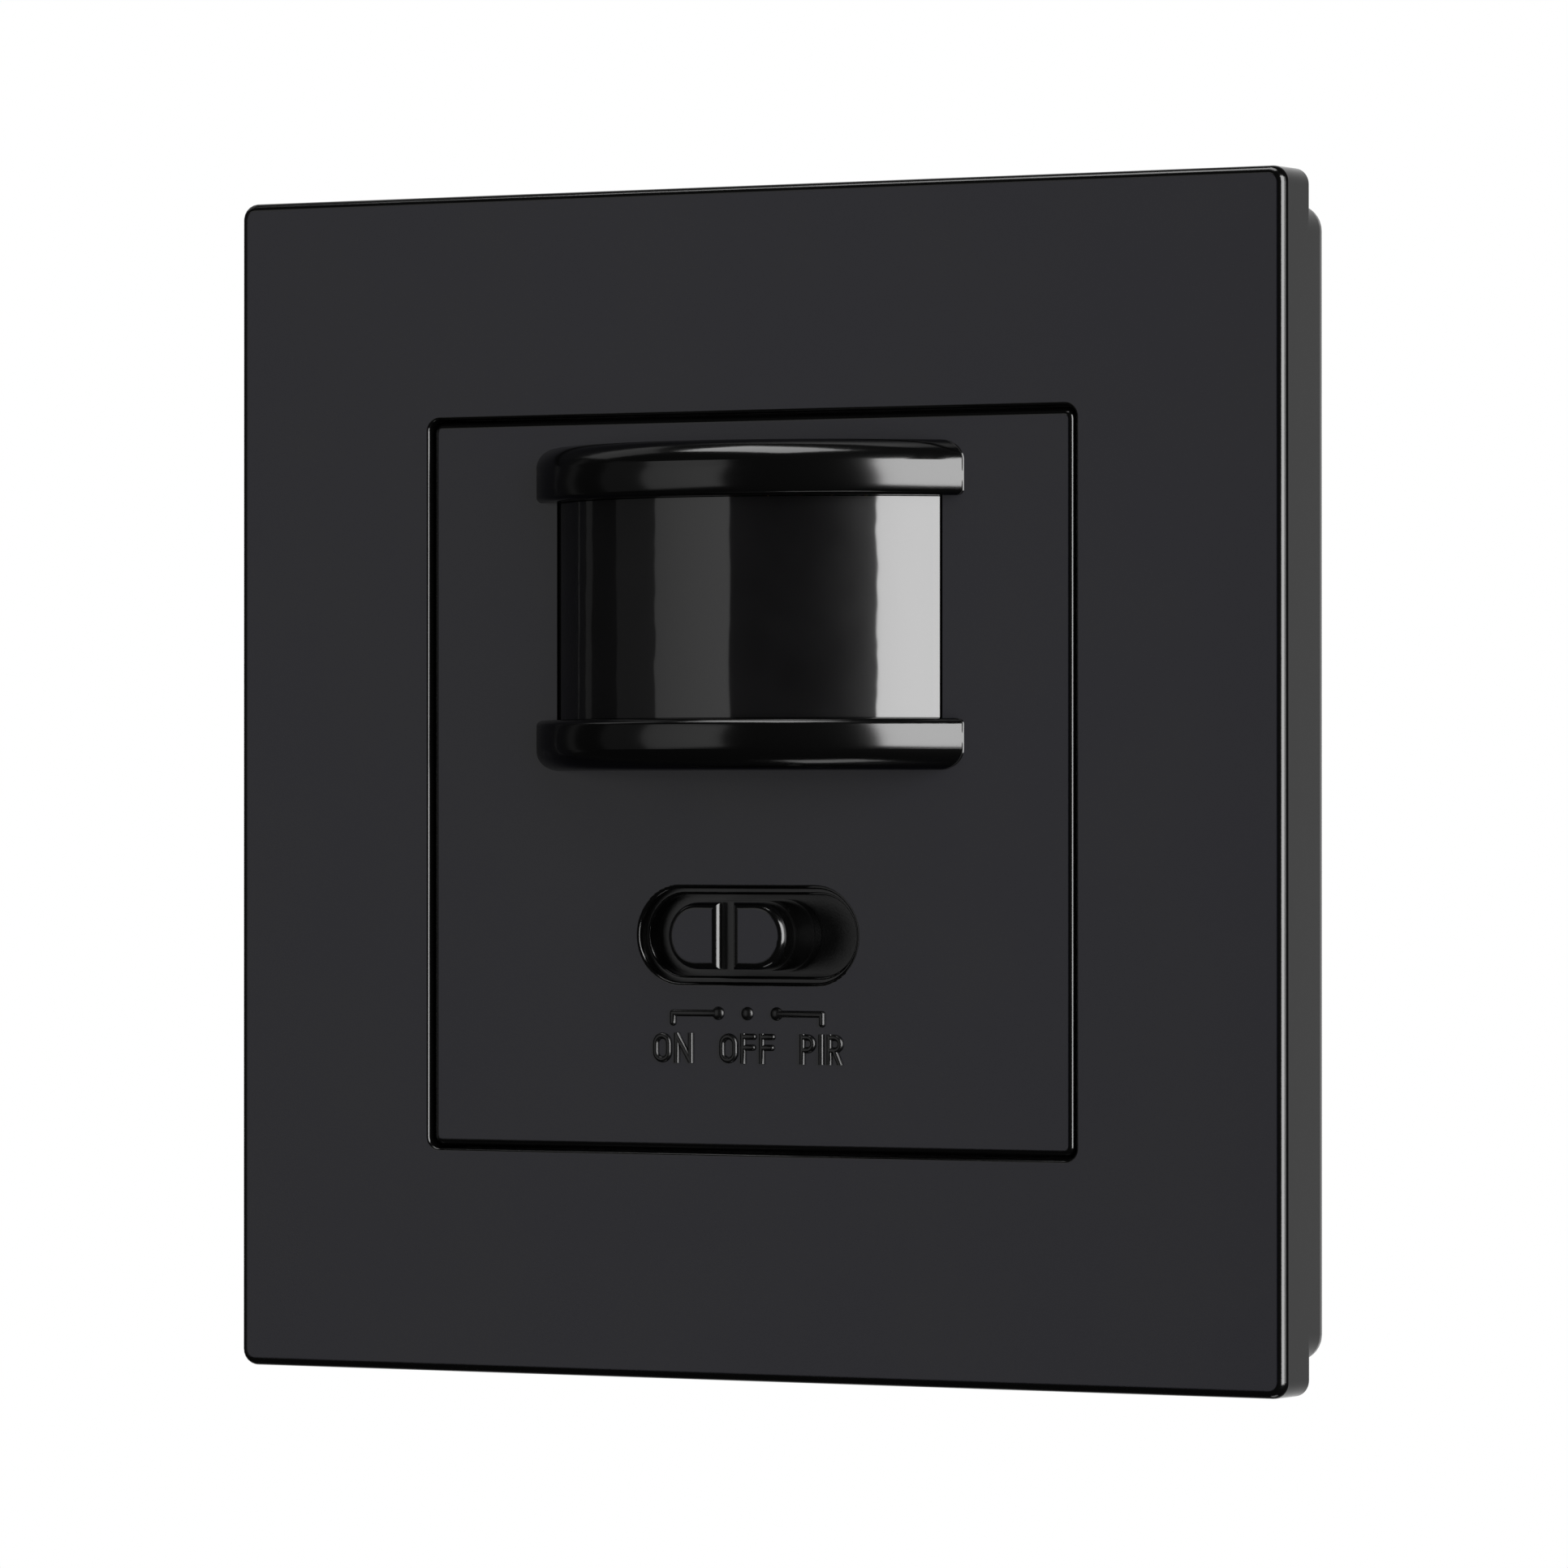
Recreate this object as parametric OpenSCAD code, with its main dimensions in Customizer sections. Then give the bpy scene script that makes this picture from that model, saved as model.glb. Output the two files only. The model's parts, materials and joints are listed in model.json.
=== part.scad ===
// Motion sensor light switch for a wall box: a cover frame, a centre plate with an arched
// lens and a three-position slide knob, a mounting base and a housing with two boards.
// Sizes are in millimetres. Each piece is drawn face up, with z out of the wall and z = 0
// at the wall, and is then turned upright, so that the front faces -Y and +Z is up.

/* [Cover frame] */
// Width and height of the square frame
frame_w = 80.5; // [80:0.5:90]
// Radius of the outer corners, seen from the front
frame_corner_r = 1.1; // [0.8:0.1:3]
// Rounding of the front edge
frame_edge_r = 0.6; // [0.3:0.1:0.8]
// Thickness of the front face
frame_face_t = 2; // [1.6:0.1:2.2]
// Thickness of the side walls
frame_wall_t = 1.7; // [1.2:0.1:2]
// Depth of the side walls at the corners
frame_side_d = 3.65; // [3.5:0.05:5]
// How far the rear edge of each side is hollowed at its middle
frame_relief = 1.45; // [0.5:0.05:1.5]
// Length of the hollow left out at each end of a side
frame_relief_end = 2.6; // [2:0.1:8]
// Rounding of the front edge of the opening
opening_edge_r = 0.2; // [0.1:0.05:0.4]
// Radius of the opening's corners
opening_corner_r = 0.8; // [0.5:0.1:1.5]
// Width of a snap hook
hook_w = 6; // [4:0.5:10]
// Thickness of a snap hook
hook_t = 1.2; // [0.9:0.1:1.5]
// Reach of a snap hook behind the front face
hook_l = 4.6; // [3.5:0.1:5.5]
// Height of a snap hook's barb
hook_barb = 0.5; // [0.3:0.05:0.6]
// Distance of a snap hook from the middle of its side
hook_x = 20; // [10:1:28]

/* [Centre plate] */
// Width and height of the plate
plate_w = 49.5; // [49:0.5:52]
// Thickness of the plate
plate_t = 2; // [1.6:0.1:2.2]
// Rounding of the plate's front edge
plate_edge_r = 0.5; // [0.2:0.1:0.7]
// Radius of the plate's corners
plate_corner_r = 0.7; // [0.7:0.1:1.5]
// How far the plate's face lies behind the frame's face
plate_recess = 0.2; // [0:0.05:0.5]
// Gap between the plate and the opening, on each side
plate_gap = 0.2; // [0.1:0.05:0.4]
// Thickness of the skirt behind the plate
skirt_t = 1.4; // [1:0.1:1.8]
// Height of the snap rib on the skirt
skirt_rib = 0.4; // [0.3:0.05:0.5]
// Length of the snap rib on the skirt
skirt_rib_l = 12; // [8:1:20]

/* [Sensor hood] */
// Width of the rails where they meet the plate
hood_w = 33; // [30:0.5:36]
// How far the rails stand out from the plate
hood_out = 8; // [6:0.25:9]
// Thickness of the top rail
top_rail_h = 3.75; // [3:0.05:4]
// Thickness of the bottom rail
bottom_rail_h = 3.45; // [3:0.05:4]
// Rounding of each rail's outer edge
rail_edge_r = 1.4; // [0.8:0.1:1.8]
// Rounding of each rail's edge beside the lens
rail_inner_r = 0.4; // [0.2:0.1:0.6]
// Height of the lens between the rails
lens_h = 14.8; // [12:0.1:16]
// Distance of the lens's middle below the plate's top edge
lens_y = 13.05; // [12.5:0.05:14]
// How far the lens lies inside the rails
lens_step = 1.4; // [0.8:0.1:2]
// Wall thickness of the lens
lens_t = 0.9; // [0.7:0.1:1.2]
// Thickness of the lens's feet behind the plate
lens_foot_t = 1; // [0.8:0.1:1.2]
// Reach of the lens's feet past its sides
lens_foot = 1.5; // [1:0.1:2]
// Depth of the lens facets on the inside
facet_d = 0.3; // [0.1:0.05:0.4]
// Radius of a lens facet's curve
facet_r = 3.2; // [2:0.1:4]
// Angle from one lens facet to the next
facet_step = 11; // [9:0.5:14]
// Thickness of the lens retainer
retainer_t = 1.2; // [1:0.1:1.5]
// Width of the retainer's border round the lens
retainer_rim = 3; // [2.6:0.1:3.2]
// Diameter of the retainer's pins
retainer_pin_d = 1.6; // [1.2:0.1:2]

/* [Slide switch] */
// Width of the recess in the plate
recess_w = 15.85; // [15:0.05:20]
// Height of the recess
recess_h = 5.5; // [5.3:0.1:8]
// Height of the recess's middle above the plate's bottom edge
recess_y = 14.5; // [13:0.25:16]
// Depth of the recess
recess_d = 1.8; // [1.5:0.1:2.5]
// Thickness of the recess's floor and walls
recess_t = 1; // [0.8:0.1:1.2]
// Rounding of the recess's rim
recess_edge_r = 0.3; // [0.1:0.05:0.6]
// Width of the ledge inside the recess's rim
rim_step = 0.4; // [0.3:0.05:0.6]
// Depth of the ledge below the plate's face
rim_d = 0.7; // [0.6:0.05:1]
// Rounding of the ledge's inner edge
rim_edge_r = 0.2; // [0.05:0.05:0.25]
// Width of the knob's face
knob_w = 9.05; // [7.5:0.05:9.5]
// Height of the knob's face
knob_h = 4.5; // [4:0.1:5]
// How far the knob stands out from the plate
knob_out = 3.1; // [2:0.1:3.5]
// Rounding of the knob's front edge
knob_edge_r = 0.5; // [0.1:0.05:0.6]
// Width of each of the knob's two ledges
knob_step = 0.1; // [0.05:0.01:0.2]
// Depth of the knob's first ledge below its face
knob_ledge_d = 1.6; // [1.5:0.1:2.5]
// Height of the knob's foot
knob_foot_h = 0.8; // [0.3:0.1:1]
// Width of the floor of the grip groove across the knob
grip_w = 0.9; // [0.6:0.05:1.4]
// Depth of the grip groove
grip_d = 0.85; // [0.7:0.05:1.4]
// Rounding of the groove's shoulders
grip_edge_r = 0.6; // [0.1:0.05:0.65]
// Travel of the knob to each side of the middle position
travel = 2.25; // [1.5:0.05:2.5]
// Width and depth of the switch lever
lever_w = 2; // [1.6:0.1:2.4]
// Depth to which the lever enters the knob
lever_grip = 3; // [2:0.1:3.4]
// Width of the switch can
can_w = 12.4; // [12:0.1:14]
// Height of the switch can, seen from the front
can_h = 6.4; // [6:0.1:7]
// Depth of the switch can
can_d = 3.6; // [3.2:0.1:4]
// Wall thickness of the switch can
can_t = 0.4; // [0.3:0.05:0.5]
// Width of the slider inside the can
slider_w = 4.2; // [3.5:0.1:4.6]

/* [Mounting base] */
// Distance from the wall to the frame's face
stand_off = 10.8; // [10:0.1:14]
// Width and height of the base
base_w = 76.6; // [74:0.1:76.8]
// Thickness of the base's side walls
base_wall_t = 1.6; // [1.4:0.1:2]
// Thickness of the base's floor
base_floor_t = 2; // [1.8:0.1:2.5]
// Rounding of the base's edge at the wall
base_edge_r = 1.5; // [0.8:0.1:1.7]
// Radius of the base's corners
base_corner_r = 1.8; // [1.7:0.1:4]
// Wall thickness of the collar round the plate
collar_t = 1.4; // [1:0.1:1.8]
// Spacing of the two wall screws
fix_spacing = 60; // [60:0.1:60.5]
// Width of the wall screw slots
fix_slot_w = 4.2; // [3.6:0.1:4.6]
// Length of the wall screw slots
fix_slot_l = 6; // [5:0.1:6.4]

/* [Rear housing] */
// Width and height of the housing
housing_w = 46; // [45:0.5:46.5]
// Depth of the housing behind the wall's face
housing_d = 24; // [22:0.5:30]
// Wall thickness of the housing
housing_t = 1.6; // [1.2:0.1:1.8]
// Radius of the housing's corners
housing_corner_r = 12; // [11:0.5:14]
// Rounding of the housing's rear edge
housing_edge_r = 1.2; // [0.6:0.1:1.4]
// Thickness of the housing's flange
flange_t = 1.5; // [1.2:0.1:1.8]
// Reach of the flange past the housing's sides
flange_rim = 1.3; // [1.2:0.1:1.8]
// Wall between a flange screw and the mouth of the base
flange_screw_wall = 1.65; // [1:0.05:1.7]
// Diameter of the flange screws' heads
flange_head_d = 3.8; // [3.2:0.1:4]
// Diameter of the flange screws
flange_screw_d = 2; // [1.6:0.1:2.2]
// Width of the columns that carry the boards
column_w = 5; // [4.5:0.1:5.4]
// Depth of the columns from the housing's wall
column_d = 5; // [4.6:0.1:5.2]
// Diameter of the wire entry holes
wire_d = 4; // [3:0.1:4.4]
// Length of the wire entry holes through wall and boss
wire_l = 4; // [3:0.1:4.2]
// Diameter of the screwdriver holes in the rear wall
driver_d = 4; // [3:0.1:4.4]

/* [Boards] */
// Thickness of both boards
board_t = 1.6; // [1:0.1:1.8]
// Gap between the two boards
board_gap = 4; // [3.5:0.1:4.5]
// Diameter of the board screws
board_screw_d = 1.6; // [1.4:0.1:2]
// Diameter of the board screws' heads
board_head_d = 3.2; // [2.8:0.1:3.4]
// Height of all small screw heads
small_head_h = 1.3; // [1:0.1:1.5]
// Length of the board screws in the columns
board_screw_l = 6; // [4:0.5:8]
// Height of the sensor board's columns from the middle
sensor_column_y = -4; // [-5:0.25:-3.5]
// Height of the power board's columns from the middle
power_column_y = 5; // [4.5:0.25:7]

/* [Sensor board parts] */
// Diameter of the detector's flange
pyro_flange_d = 9.2; // [8.8:0.1:9.6]
// Thickness of the detector's flange
pyro_flange_t = 0.8; // [0.6:0.1:1]
// Diameter of the detector's can
pyro_can_d = 8.2; // [7.6:0.1:8.4]
// Height of the detector's can above its flange
pyro_can_h = 3.4; // [3:0.1:3.8]
// Wall thickness of the detector's can
pyro_can_t = 0.4; // [0.3:0.05:0.5]
// Width of the detector's window
pyro_window_w = 4.6; // [4:0.1:5]
// Height of the detector's window
pyro_window_h = 3.4; // [3:0.1:4]
// Diameter of the detector's legs
pyro_leg_d = 0.5; // [0.4:0.05:0.6]
// Distance of the detector's legs from its middle
pyro_leg_r = 2.54; // [2:0.02:3]
// Distance of the daylight sensor from the middle
light_x = 9.5; // [8.5:0.25:10]
// Diameter of the daylight sensor
light_d = 3; // [2.5:0.1:3.2]
// Height of the daylight sensor's straight part
light_h = 3; // [2:0.1:4]
// Reach of the daylight sensor's rim
light_rim = 0.4; // [0.2:0.1:0.5]
// Thickness of the daylight sensor's rim
light_rim_t = 0.8; // [0.5:0.1:1]
// Width of a trimmer's body
trimmer_w = 6.4; // [6:0.1:6.8]
// Height of a trimmer's body
trimmer_h = 2.6; // [2.2:0.1:3]
// Diameter of a trimmer's rotor
rotor_d = 5; // [4:0.1:5.6]
// Height of a trimmer's rotor above its body
rotor_h = 1.2; // [1:0.1:1.4]
// Diameter of a rotor's shaft
rotor_shaft_d = 2; // [1.6:0.1:2.6]
// Depth of a rotor's shaft in its body
rotor_shaft_l = 1.6; // [1:0.1:1.8]
// Width of a rotor's screwdriver slot
rotor_slot_w = 0.8; // [0.6:0.1:1]
// Depth of a rotor's screwdriver slot
rotor_slot_d = 0.6; // [0.4:0.1:0.8]
// Distance of each trimmer from the middle
trimmer_x = 15.4; // [14.8:0.1:15.6]
// Height of the trimmers from the middle
trimmer_y = -11.5; // [-11.5:0.1:-10.5]
// Length of the control chip
chip_w = 9.9; // [8.6:0.1:10.2]
// Width of the control chip
chip_h = 3.9; // [3.8:0.1:4.2]
// Thickness of the control chip
chip_t = 1.5; // [1.3:0.1:1.8]
// Number of legs on each side of the control chip
chip_legs = 7; // [4:1:8]
// Width of a chip leg
chip_leg_w = 0.42; // [0.3:0.02:0.6]
// Reach of a chip leg
chip_leg_l = 1.05; // [0.8:0.05:1.3]
// Thickness of a chip leg
chip_leg_t = 0.2; // [0.15:0.05:0.3]
// Number of pins in the board link
link_count = 5; // [4:1:6]
// Distance from one link pin to the next
link_pitch = 2.54; // [2.4:0.02:2.54]
// Diameter of a link pin
link_pin_d = 0.7; // [0.5:0.05:0.8]
// Distance of the link pins from the boards' top edge
link_y = 2.8; // [2.6:0.1:3.2]
// Height and depth of the link's body
link_body_w = 2.5; // [2:0.1:2.6]
// Length of the link pins behind the power board
link_tail = 1; // [0.6:0.1:1.5]

/* [Power board parts] */
// Gap between neighbouring parts
part_gap = 0.8; // [0.6:0.1:1]
// Rounding of the edges of the square cases
case_edge_r = 0.6; // [0.3:0.1:0.7]
// Radius of the corners of the square cases
case_corner_r = 0.8; // [0.8:0.1:1.2]
// Size of the relay across the housing
relay_w = 15.2; // [14.5:0.1:15.4]
// Size of the relay up the housing
relay_h = 18.4; // [17:0.1:18.8]
// Depth of the relay
relay_d = 15.3; // [12:0.1:15.8]
// Height of the relay's middle above the power board's columns
relay_rise = 1.4; // [1:0.1:1.6]
// Width of the film capacitor
film_w = 7.4; // [6:0.1:8]
// Length of the film capacitor
film_h = 17.6; // [16:0.1:18]
// Depth of the film capacitor
film_d = 13.2; // [10:0.1:15]
// Height of the film capacitor's middle above the power board's columns
film_rise = 2; // [1:0.1:2.2]
// Diameter of the electrolytic capacitor
electro_d = 7.8; // [6.3:0.1:8]
// Depth of the electrolytic capacitor
electro_h = 12; // [9:0.1:15]
// Radius of the rolled groove in the electrolytic capacitor
electro_groove_r = 0.4; // [0.2:0.1:0.5]
// Distance of the rolled groove from the board
electro_groove_z = 1.8; // [1.4:0.1:3]
// Diameter of the varistor
varistor_d = 7.4; // [6:0.1:7.6]
// Thickness of the varistor
varistor_t = 3.8; // [3:0.1:4.2]
// Diameter of the varistor's legs
varistor_leg_d = 0.8; // [0.6:0.1:1]
// Length of the varistor's legs
varistor_leg_l = 1; // [0.6:0.1:2]
// Diameter of the fuse
fuse_d = 6.8; // [6:0.1:7]
// Depth of the fuse
fuse_h = 8; // [6:0.1:9]
// Thickness of the fuse's base
fuse_base_t = 1; // [0.8:0.1:1.5]
// Reach of the fuse's base past its cap
fuse_rim = 0.1; // [0.05:0.05:0.3]
// Diameter of a rectifier diode
diode_d = 2.7; // [2.2:0.1:3]
// Length of a rectifier diode
diode_l = 4.6; // [4:0.1:4.8]
// Number of rectifier diodes
diode_count = 4; // [2:1:4]
// Distance from one diode to the next
diode_pitch = 4; // [3.6:0.1:4.2]
// Distance from one terminal to the next
terminal_pitch = 5.08; // [5:0.02:5.08]
// Number of terminals
terminal_count = 3; // [2:1:3]
// Size of the terminal block up the housing
terminal_h = 8.2; // [8:0.1:8.6]
// Depth of the terminal block
terminal_d = 10.2; // [9.6:0.1:11]
// Thickness of the terminal block's floor
terminal_floor_t = 1.4; // [1:0.1:1.6]
// Width of a terminal's metal clamp
clamp_w = 3.8; // [3.4:0.1:4]
// Size of a terminal's metal clamp up the housing
clamp_h = 5; // [4.6:0.1:5.4]
// Depth of a terminal's metal clamp
clamp_d = 6.4; // [6:0.1:6.8]
// Diameter of a terminal's wire hole
clamp_hole_d = 2.6; // [2:0.1:2.8]
// Wall of a clamp beside its wire hole
clamp_wall = 1; // [0.7:0.1:1.2]
// Diameter of a terminal screw
terminal_screw_d = 2.4; // [2:0.1:2.6]
// Diameter of a terminal screw's head
terminal_head_d = 3.4; // [3:0.1:3.6]
// Height of a terminal screw's head
terminal_head_h = 1.6; // [1:0.1:1.8]
// Width of a terminal screw's slot
terminal_slot_w = 0.6; // [0.5:0.1:0.8]
// Depth of a terminal screw's slot
terminal_slot_d = 0.8; // [0.4:0.1:0.9]

/* [Clearances] */
// Clearance of pieces that are pushed together by hand
slip = 0.2; // [0.1:0.05:0.25]
// Clearance of small pieces that sit close
close = 0.05; // [0.03:0.01:0.08]
// Clearance of the switch lever in its slots
lever_gap = 0.3; // [0.2:0.05:0.4]
// Gap in front of the switch can
can_gap = 0.6; // [0.2:0.05:0.8]

/* [Hidden] */
$fn = 64;

// Colours
satin_black = "#26262a";
lens_black = "#121214";
inner_black = "#1c1c1e";
board_green = "#1f5a38";
steel = "#b9bcc0";
brass = "#c9a24e";

// A cutter reaches this far past the face that it opens
past = 1;

// A rounded edge is sunk this far into the slab that carries it
lap = 0.1;

// The long arc of the side reliefs needs finer steps than other circles
relief_fn = 256;

// Facets in each row of the lens, from the near zone at the bottom to the far zone at the top
facet_rows = [3, 5, 7];

// Levels out of the wall
z_front = stand_off;
z_frame_in = z_front - frame_face_t;
z_frame_rear = z_front - frame_side_d;
z_plate = z_front - plate_recess;
z_plate_in = z_plate - plate_t;
z_recess = z_plate - recess_d;
z_recess_in = z_recess - recess_t;
z_flange = base_floor_t + flange_t;
z_sensor = z_recess_in - can_gap - can_d;
z_sensor_rear = z_sensor - board_t;
z_power = z_sensor_rear - board_gap;
z_power_rear = z_power - board_t;
z_cavity = housing_t - housing_d;
z_knob = z_plate + knob_out;

// Cover frame and base
opening_w = plate_w + 2 * plate_gap;
frame_in_w = frame_w - 2 * frame_wall_t;
base_in_w = base_w - 2 * base_wall_t;
mouth_w = housing_w + 2 * slip;
mouth_corner_r = housing_corner_r + slip;
flange_w = max(plate_w - skirt_t, housing_w + 2 * flange_rim);
collar_in_w = max(plate_w, flange_w) + 2 * slip;
collar_top = z_plate_in - slip;
hook_y = base_in_w / 2 - slip;
barb_h = 3 * hook_barb;
z_hook_end = z_frame_in - hook_l;
relief_chord = frame_w - 2 * frame_relief_end;
relief_r = (relief_chord * relief_chord / 4 + frame_relief * frame_relief) / (2 * frame_relief);
rib_x = collar_in_w / 2 - slip;
rib_z = (z_flange + z_plate_in) / 2;

// Sensor hood: the rails and the lens turn about one upright axis behind the plate
rail_r = (hood_w * hood_w / 4 + hood_out * hood_out) / (2 * hood_out);
z_axis = z_plate + hood_out - rail_r;
lens_r = rail_r - lens_step;
lens_in_r = lens_r - lens_t;
axis_d = rail_r - hood_out;
lens_half = sqrt(lens_r * lens_r - axis_d * axis_d);
lens_in_half = sqrt(lens_in_r * lens_in_r - axis_d * axis_d);
lens_mid = plate_w / 2 - lens_y;
lens_top = lens_mid + lens_h / 2;
lens_bottom = lens_mid - lens_h / 2;
z_foot = z_plate_in - lens_foot_t;
retainer_w = 2 * (lens_half + lens_foot + retainer_rim / 2);
retainer_h = lens_h + 2 * retainer_rim;
pin_x = lens_in_half - retainer_pin_d;
pin_y = lens_h / 2 + retainer_rim / 2;

// Slide switch
recess_mid = recess_y - plate_w / 2;
rim_w = recess_w + 2 * rim_step;
rim_h = recess_h + 2 * rim_step;
z_rim = z_plate - rim_d;
slot_l = lever_w + 2 * (travel + lever_gap);
slot_h = lever_w + 2 * lever_gap;
z_knob_rear = z_recess + close;
z_can = z_sensor + can_d;
z_slider_top = z_can - can_t - close;

// Rear housing
cavity_w = housing_w - 2 * housing_t;
cavity_corner_r = housing_corner_r - housing_t;
flange_screw_x = mouth_w / 2 - mouth_corner_r
    + (mouth_corner_r + flange_screw_wall + flange_screw_d / 2) / sqrt(2);
board_w = min(cavity_w, plate_w - 2 * skirt_t) - 2 * slip;
board_corner_r = cavity_corner_r - slip;
column_face = cavity_w / 2 - column_d;
column_x = column_face + column_d / 2;
hole_x = column_face + board_head_d / 2 + slip;

// Places on the boards, from the middle
trimmer_places = [-trimmer_x, trimmer_x];
link_row = board_w / 2 - link_y;
terminal_w = terminal_count * terminal_pitch;
relay_end = slip - column_face + relay_w;
film_end = relay_end + part_gap + film_w;
low_parts_top = sensor_column_y - column_w / 2 - slip;
relay_at = [relay_end - relay_w / 2, power_column_y + relay_rise];
film_at = [film_end - film_w / 2, power_column_y + film_rise];
varistor_at = [film_end + part_gap + varistor_t / 2,
    power_column_y + column_w / 2 + slip + varistor_d / 2];
electro_at = [terminal_w / 2 + part_gap + electro_d / 2, low_parts_top - electro_d / 2];
fuse_at = [-(terminal_w / 2 + part_gap + fuse_d / 2), low_parts_top - fuse_d / 2];
terminal_y0 = -housing_w / 2 + wire_l + slip;
terminal_y = terminal_y0 + terminal_h / 2;
diode_y = terminal_y0 + terminal_h + slip + diode_l / 2;
terminal_xs = [for (i = [0 : terminal_count - 1]) (i - (terminal_count - 1) / 2) * terminal_pitch];
link_xs = [for (i = [0 : link_count - 1]) (i - (link_count - 1) / 2) * link_pitch];
diode_xs = [for (i = [0 : diode_count - 1]) (i - (diode_count - 1) / 2) * diode_pitch];
z_terminal = z_power_rear - terminal_d;
z_clamp_top = z_power_rear - terminal_floor_t;
z_clamp = z_clamp_top - clamp_d;
z_wire = z_clamp_top - clamp_hole_d / 2 - clamp_wall;

// Shared shapes

// Turns a piece that is drawn face up so that it hangs on the wall
module upright() {
    rotate([90, 0, 0]) children();
}

// Rounded rectangle; with a radius of half its height it is a stadium
module plan(w, h, r) {
    if (r <= 0) {
        square([w, h], center = true);
    } else {
        if (w > 2 * r) square([w - 2 * r, h], center = true);
        if (h > 2 * r) square([w, h - 2 * r], center = true);
        for (x = [-1, 1], y = [-1, 1])
            translate([x * (w / 2 - r), y * (h / 2 - r)]) circle(r);
    }
}

// Stadium with round ends left and right
module stadium(w, h) {
    square([w - h, h], center = true);
    for (x = [-1, 1]) translate([x * (w - h) / 2, 0]) circle(d = h);
}

// A prism of a two-dimensional shape between two levels
module between(bottom, top) {
    translate([0, 0, bottom]) linear_extrude(top - bottom) children();
}

// Quarter disc that rounds an edge
module quarter(r) {
    intersection() {
        circle(r);
        square(r);
    }
}

// Section of a rounded edge, with a strip of the given width that joins it to its slab
module edge_section(r, strip) {
    quarter(r);
    if (strip > 0) translate([-strip, 0]) square([strip + r / 2, r / 2]);
    if (strip > 0) translate([-strip, 0]) square([strip, r]);
}

// Rounded edge that runs round the outside of a rounded rectangle
module outer_edge(w, h, corner_r, edge_r) {
    for (side = [0 : 3]) {
        across = side % 2 == 0 ? w : h;
        along = side % 2 == 0 ? h : w;
        run = along - 2 * corner_r;
        rotate(side * 90) {
            if (run > 0)
                translate([across / 2 - edge_r, run / 2, 0])
                    rotate([90, 0, 0]) linear_extrude(run) edge_section(edge_r, lap);
            translate([across / 2 - corner_r, along / 2 - corner_r, 0])
                rotate_extrude(angle = 90) translate([corner_r - edge_r, 0])
                    edge_section(edge_r, min(lap, corner_r - edge_r));
        }
    }
}

// Rounded edge that runs round the inside of an opening
module inner_edge(w, h, corner_r, edge_r) {
    for (side = [0 : 3]) {
        across = side % 2 == 0 ? w : h;
        along = side % 2 == 0 ? h : w;
        run = along - 2 * corner_r;
        rotate(side * 90) {
            if (run > 0)
                translate([across / 2 + edge_r, run / 2, 0])
                    rotate([90, 0, 0]) linear_extrude(run)
                        mirror([1, 0]) edge_section(edge_r, lap);
            translate([across / 2 - corner_r, along / 2 - corner_r, 0])
                rotate_extrude(angle = 90) translate([corner_r + edge_r, 0])
                    mirror([1, 0]) edge_section(edge_r, lap);
        }
    }
}

// Slab whose front edge is rounded all the way round
module soft_slab(w, h, corner_r, edge_r, bottom, top) {
    between(bottom, top - edge_r) plan(w, h, corner_r);
    between(top - edge_r, top) plan(w - 2 * edge_r, h - 2 * edge_r, corner_r - edge_r);
    translate([0, 0, top - edge_r]) outer_edge(w, h, corner_r, edge_r);
}

// Screw with a rounded head at level z and its shank towards the wall
module small_screw(head_d, shank_d, length, z) {
    head_round = small_head_h / 2;
    between(z, z + small_head_h - head_round) circle(d = head_d);
    translate([0, 0, z + small_head_h - head_round])
        rotate_extrude() {
            square([head_d / 2 - head_round, head_round]);
            translate([head_d / 2 - head_round, 0]) quarter(head_round);
        }
    between(z - length, z) circle(d = shank_d);
}

// The four corners where the flange screws sit
module at_flange_screws() {
    for (x = [-1, 1], y = [-1, 1])
        translate([x * flange_screw_x, y * flange_screw_x]) children();
}

// The four snap hooks, two on the top side and two on the bottom side
module at_hooks() {
    for (side = [0, 180], x = [-hook_x, hook_x])
        rotate(side) translate([x, hook_y, 0]) children();
}

// Section of a snap hook, with its barb towards the base's wall
module hook_section() {
    polygon([[-hook_t, z_frame_in], [-hook_t, z_hook_end], [-hook_barb, z_hook_end],
        [hook_barb, z_hook_end + 2 * hook_barb], [0, z_hook_end + barb_h], [0, z_frame_in]]);
}

// Extrudes a section drawn in y and z along x, centred
module along_x(length) {
    translate([-length / 2, 0, 0]) rotate([90, 0, 90]) linear_extrude(length) children();
}

// Extrudes a section drawn in x and z along y, from one height to another
module along_y(bottom, top) {
    translate([0, top, 0]) rotate([90, 0, 0]) linear_extrude(top - bottom) children();
}

// Cover frame

// Shallow arc that hollows the rear edge of each side wall
module side_reliefs() {
    for (side = [0 : 3])
        rotate(side * 90) translate([frame_in_w / 2 - past, 0, 0])
            rotate([90, 0, 90]) linear_extrude(frame_wall_t + 2 * past) intersection() {
                translate([0, z_frame_rear + frame_relief - relief_r])
                    circle(relief_r, $fn = relief_fn);
                translate([-frame_w, z_frame_rear - past])
                    square([2 * frame_w, frame_relief + 2 * past]);
            }
}

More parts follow.
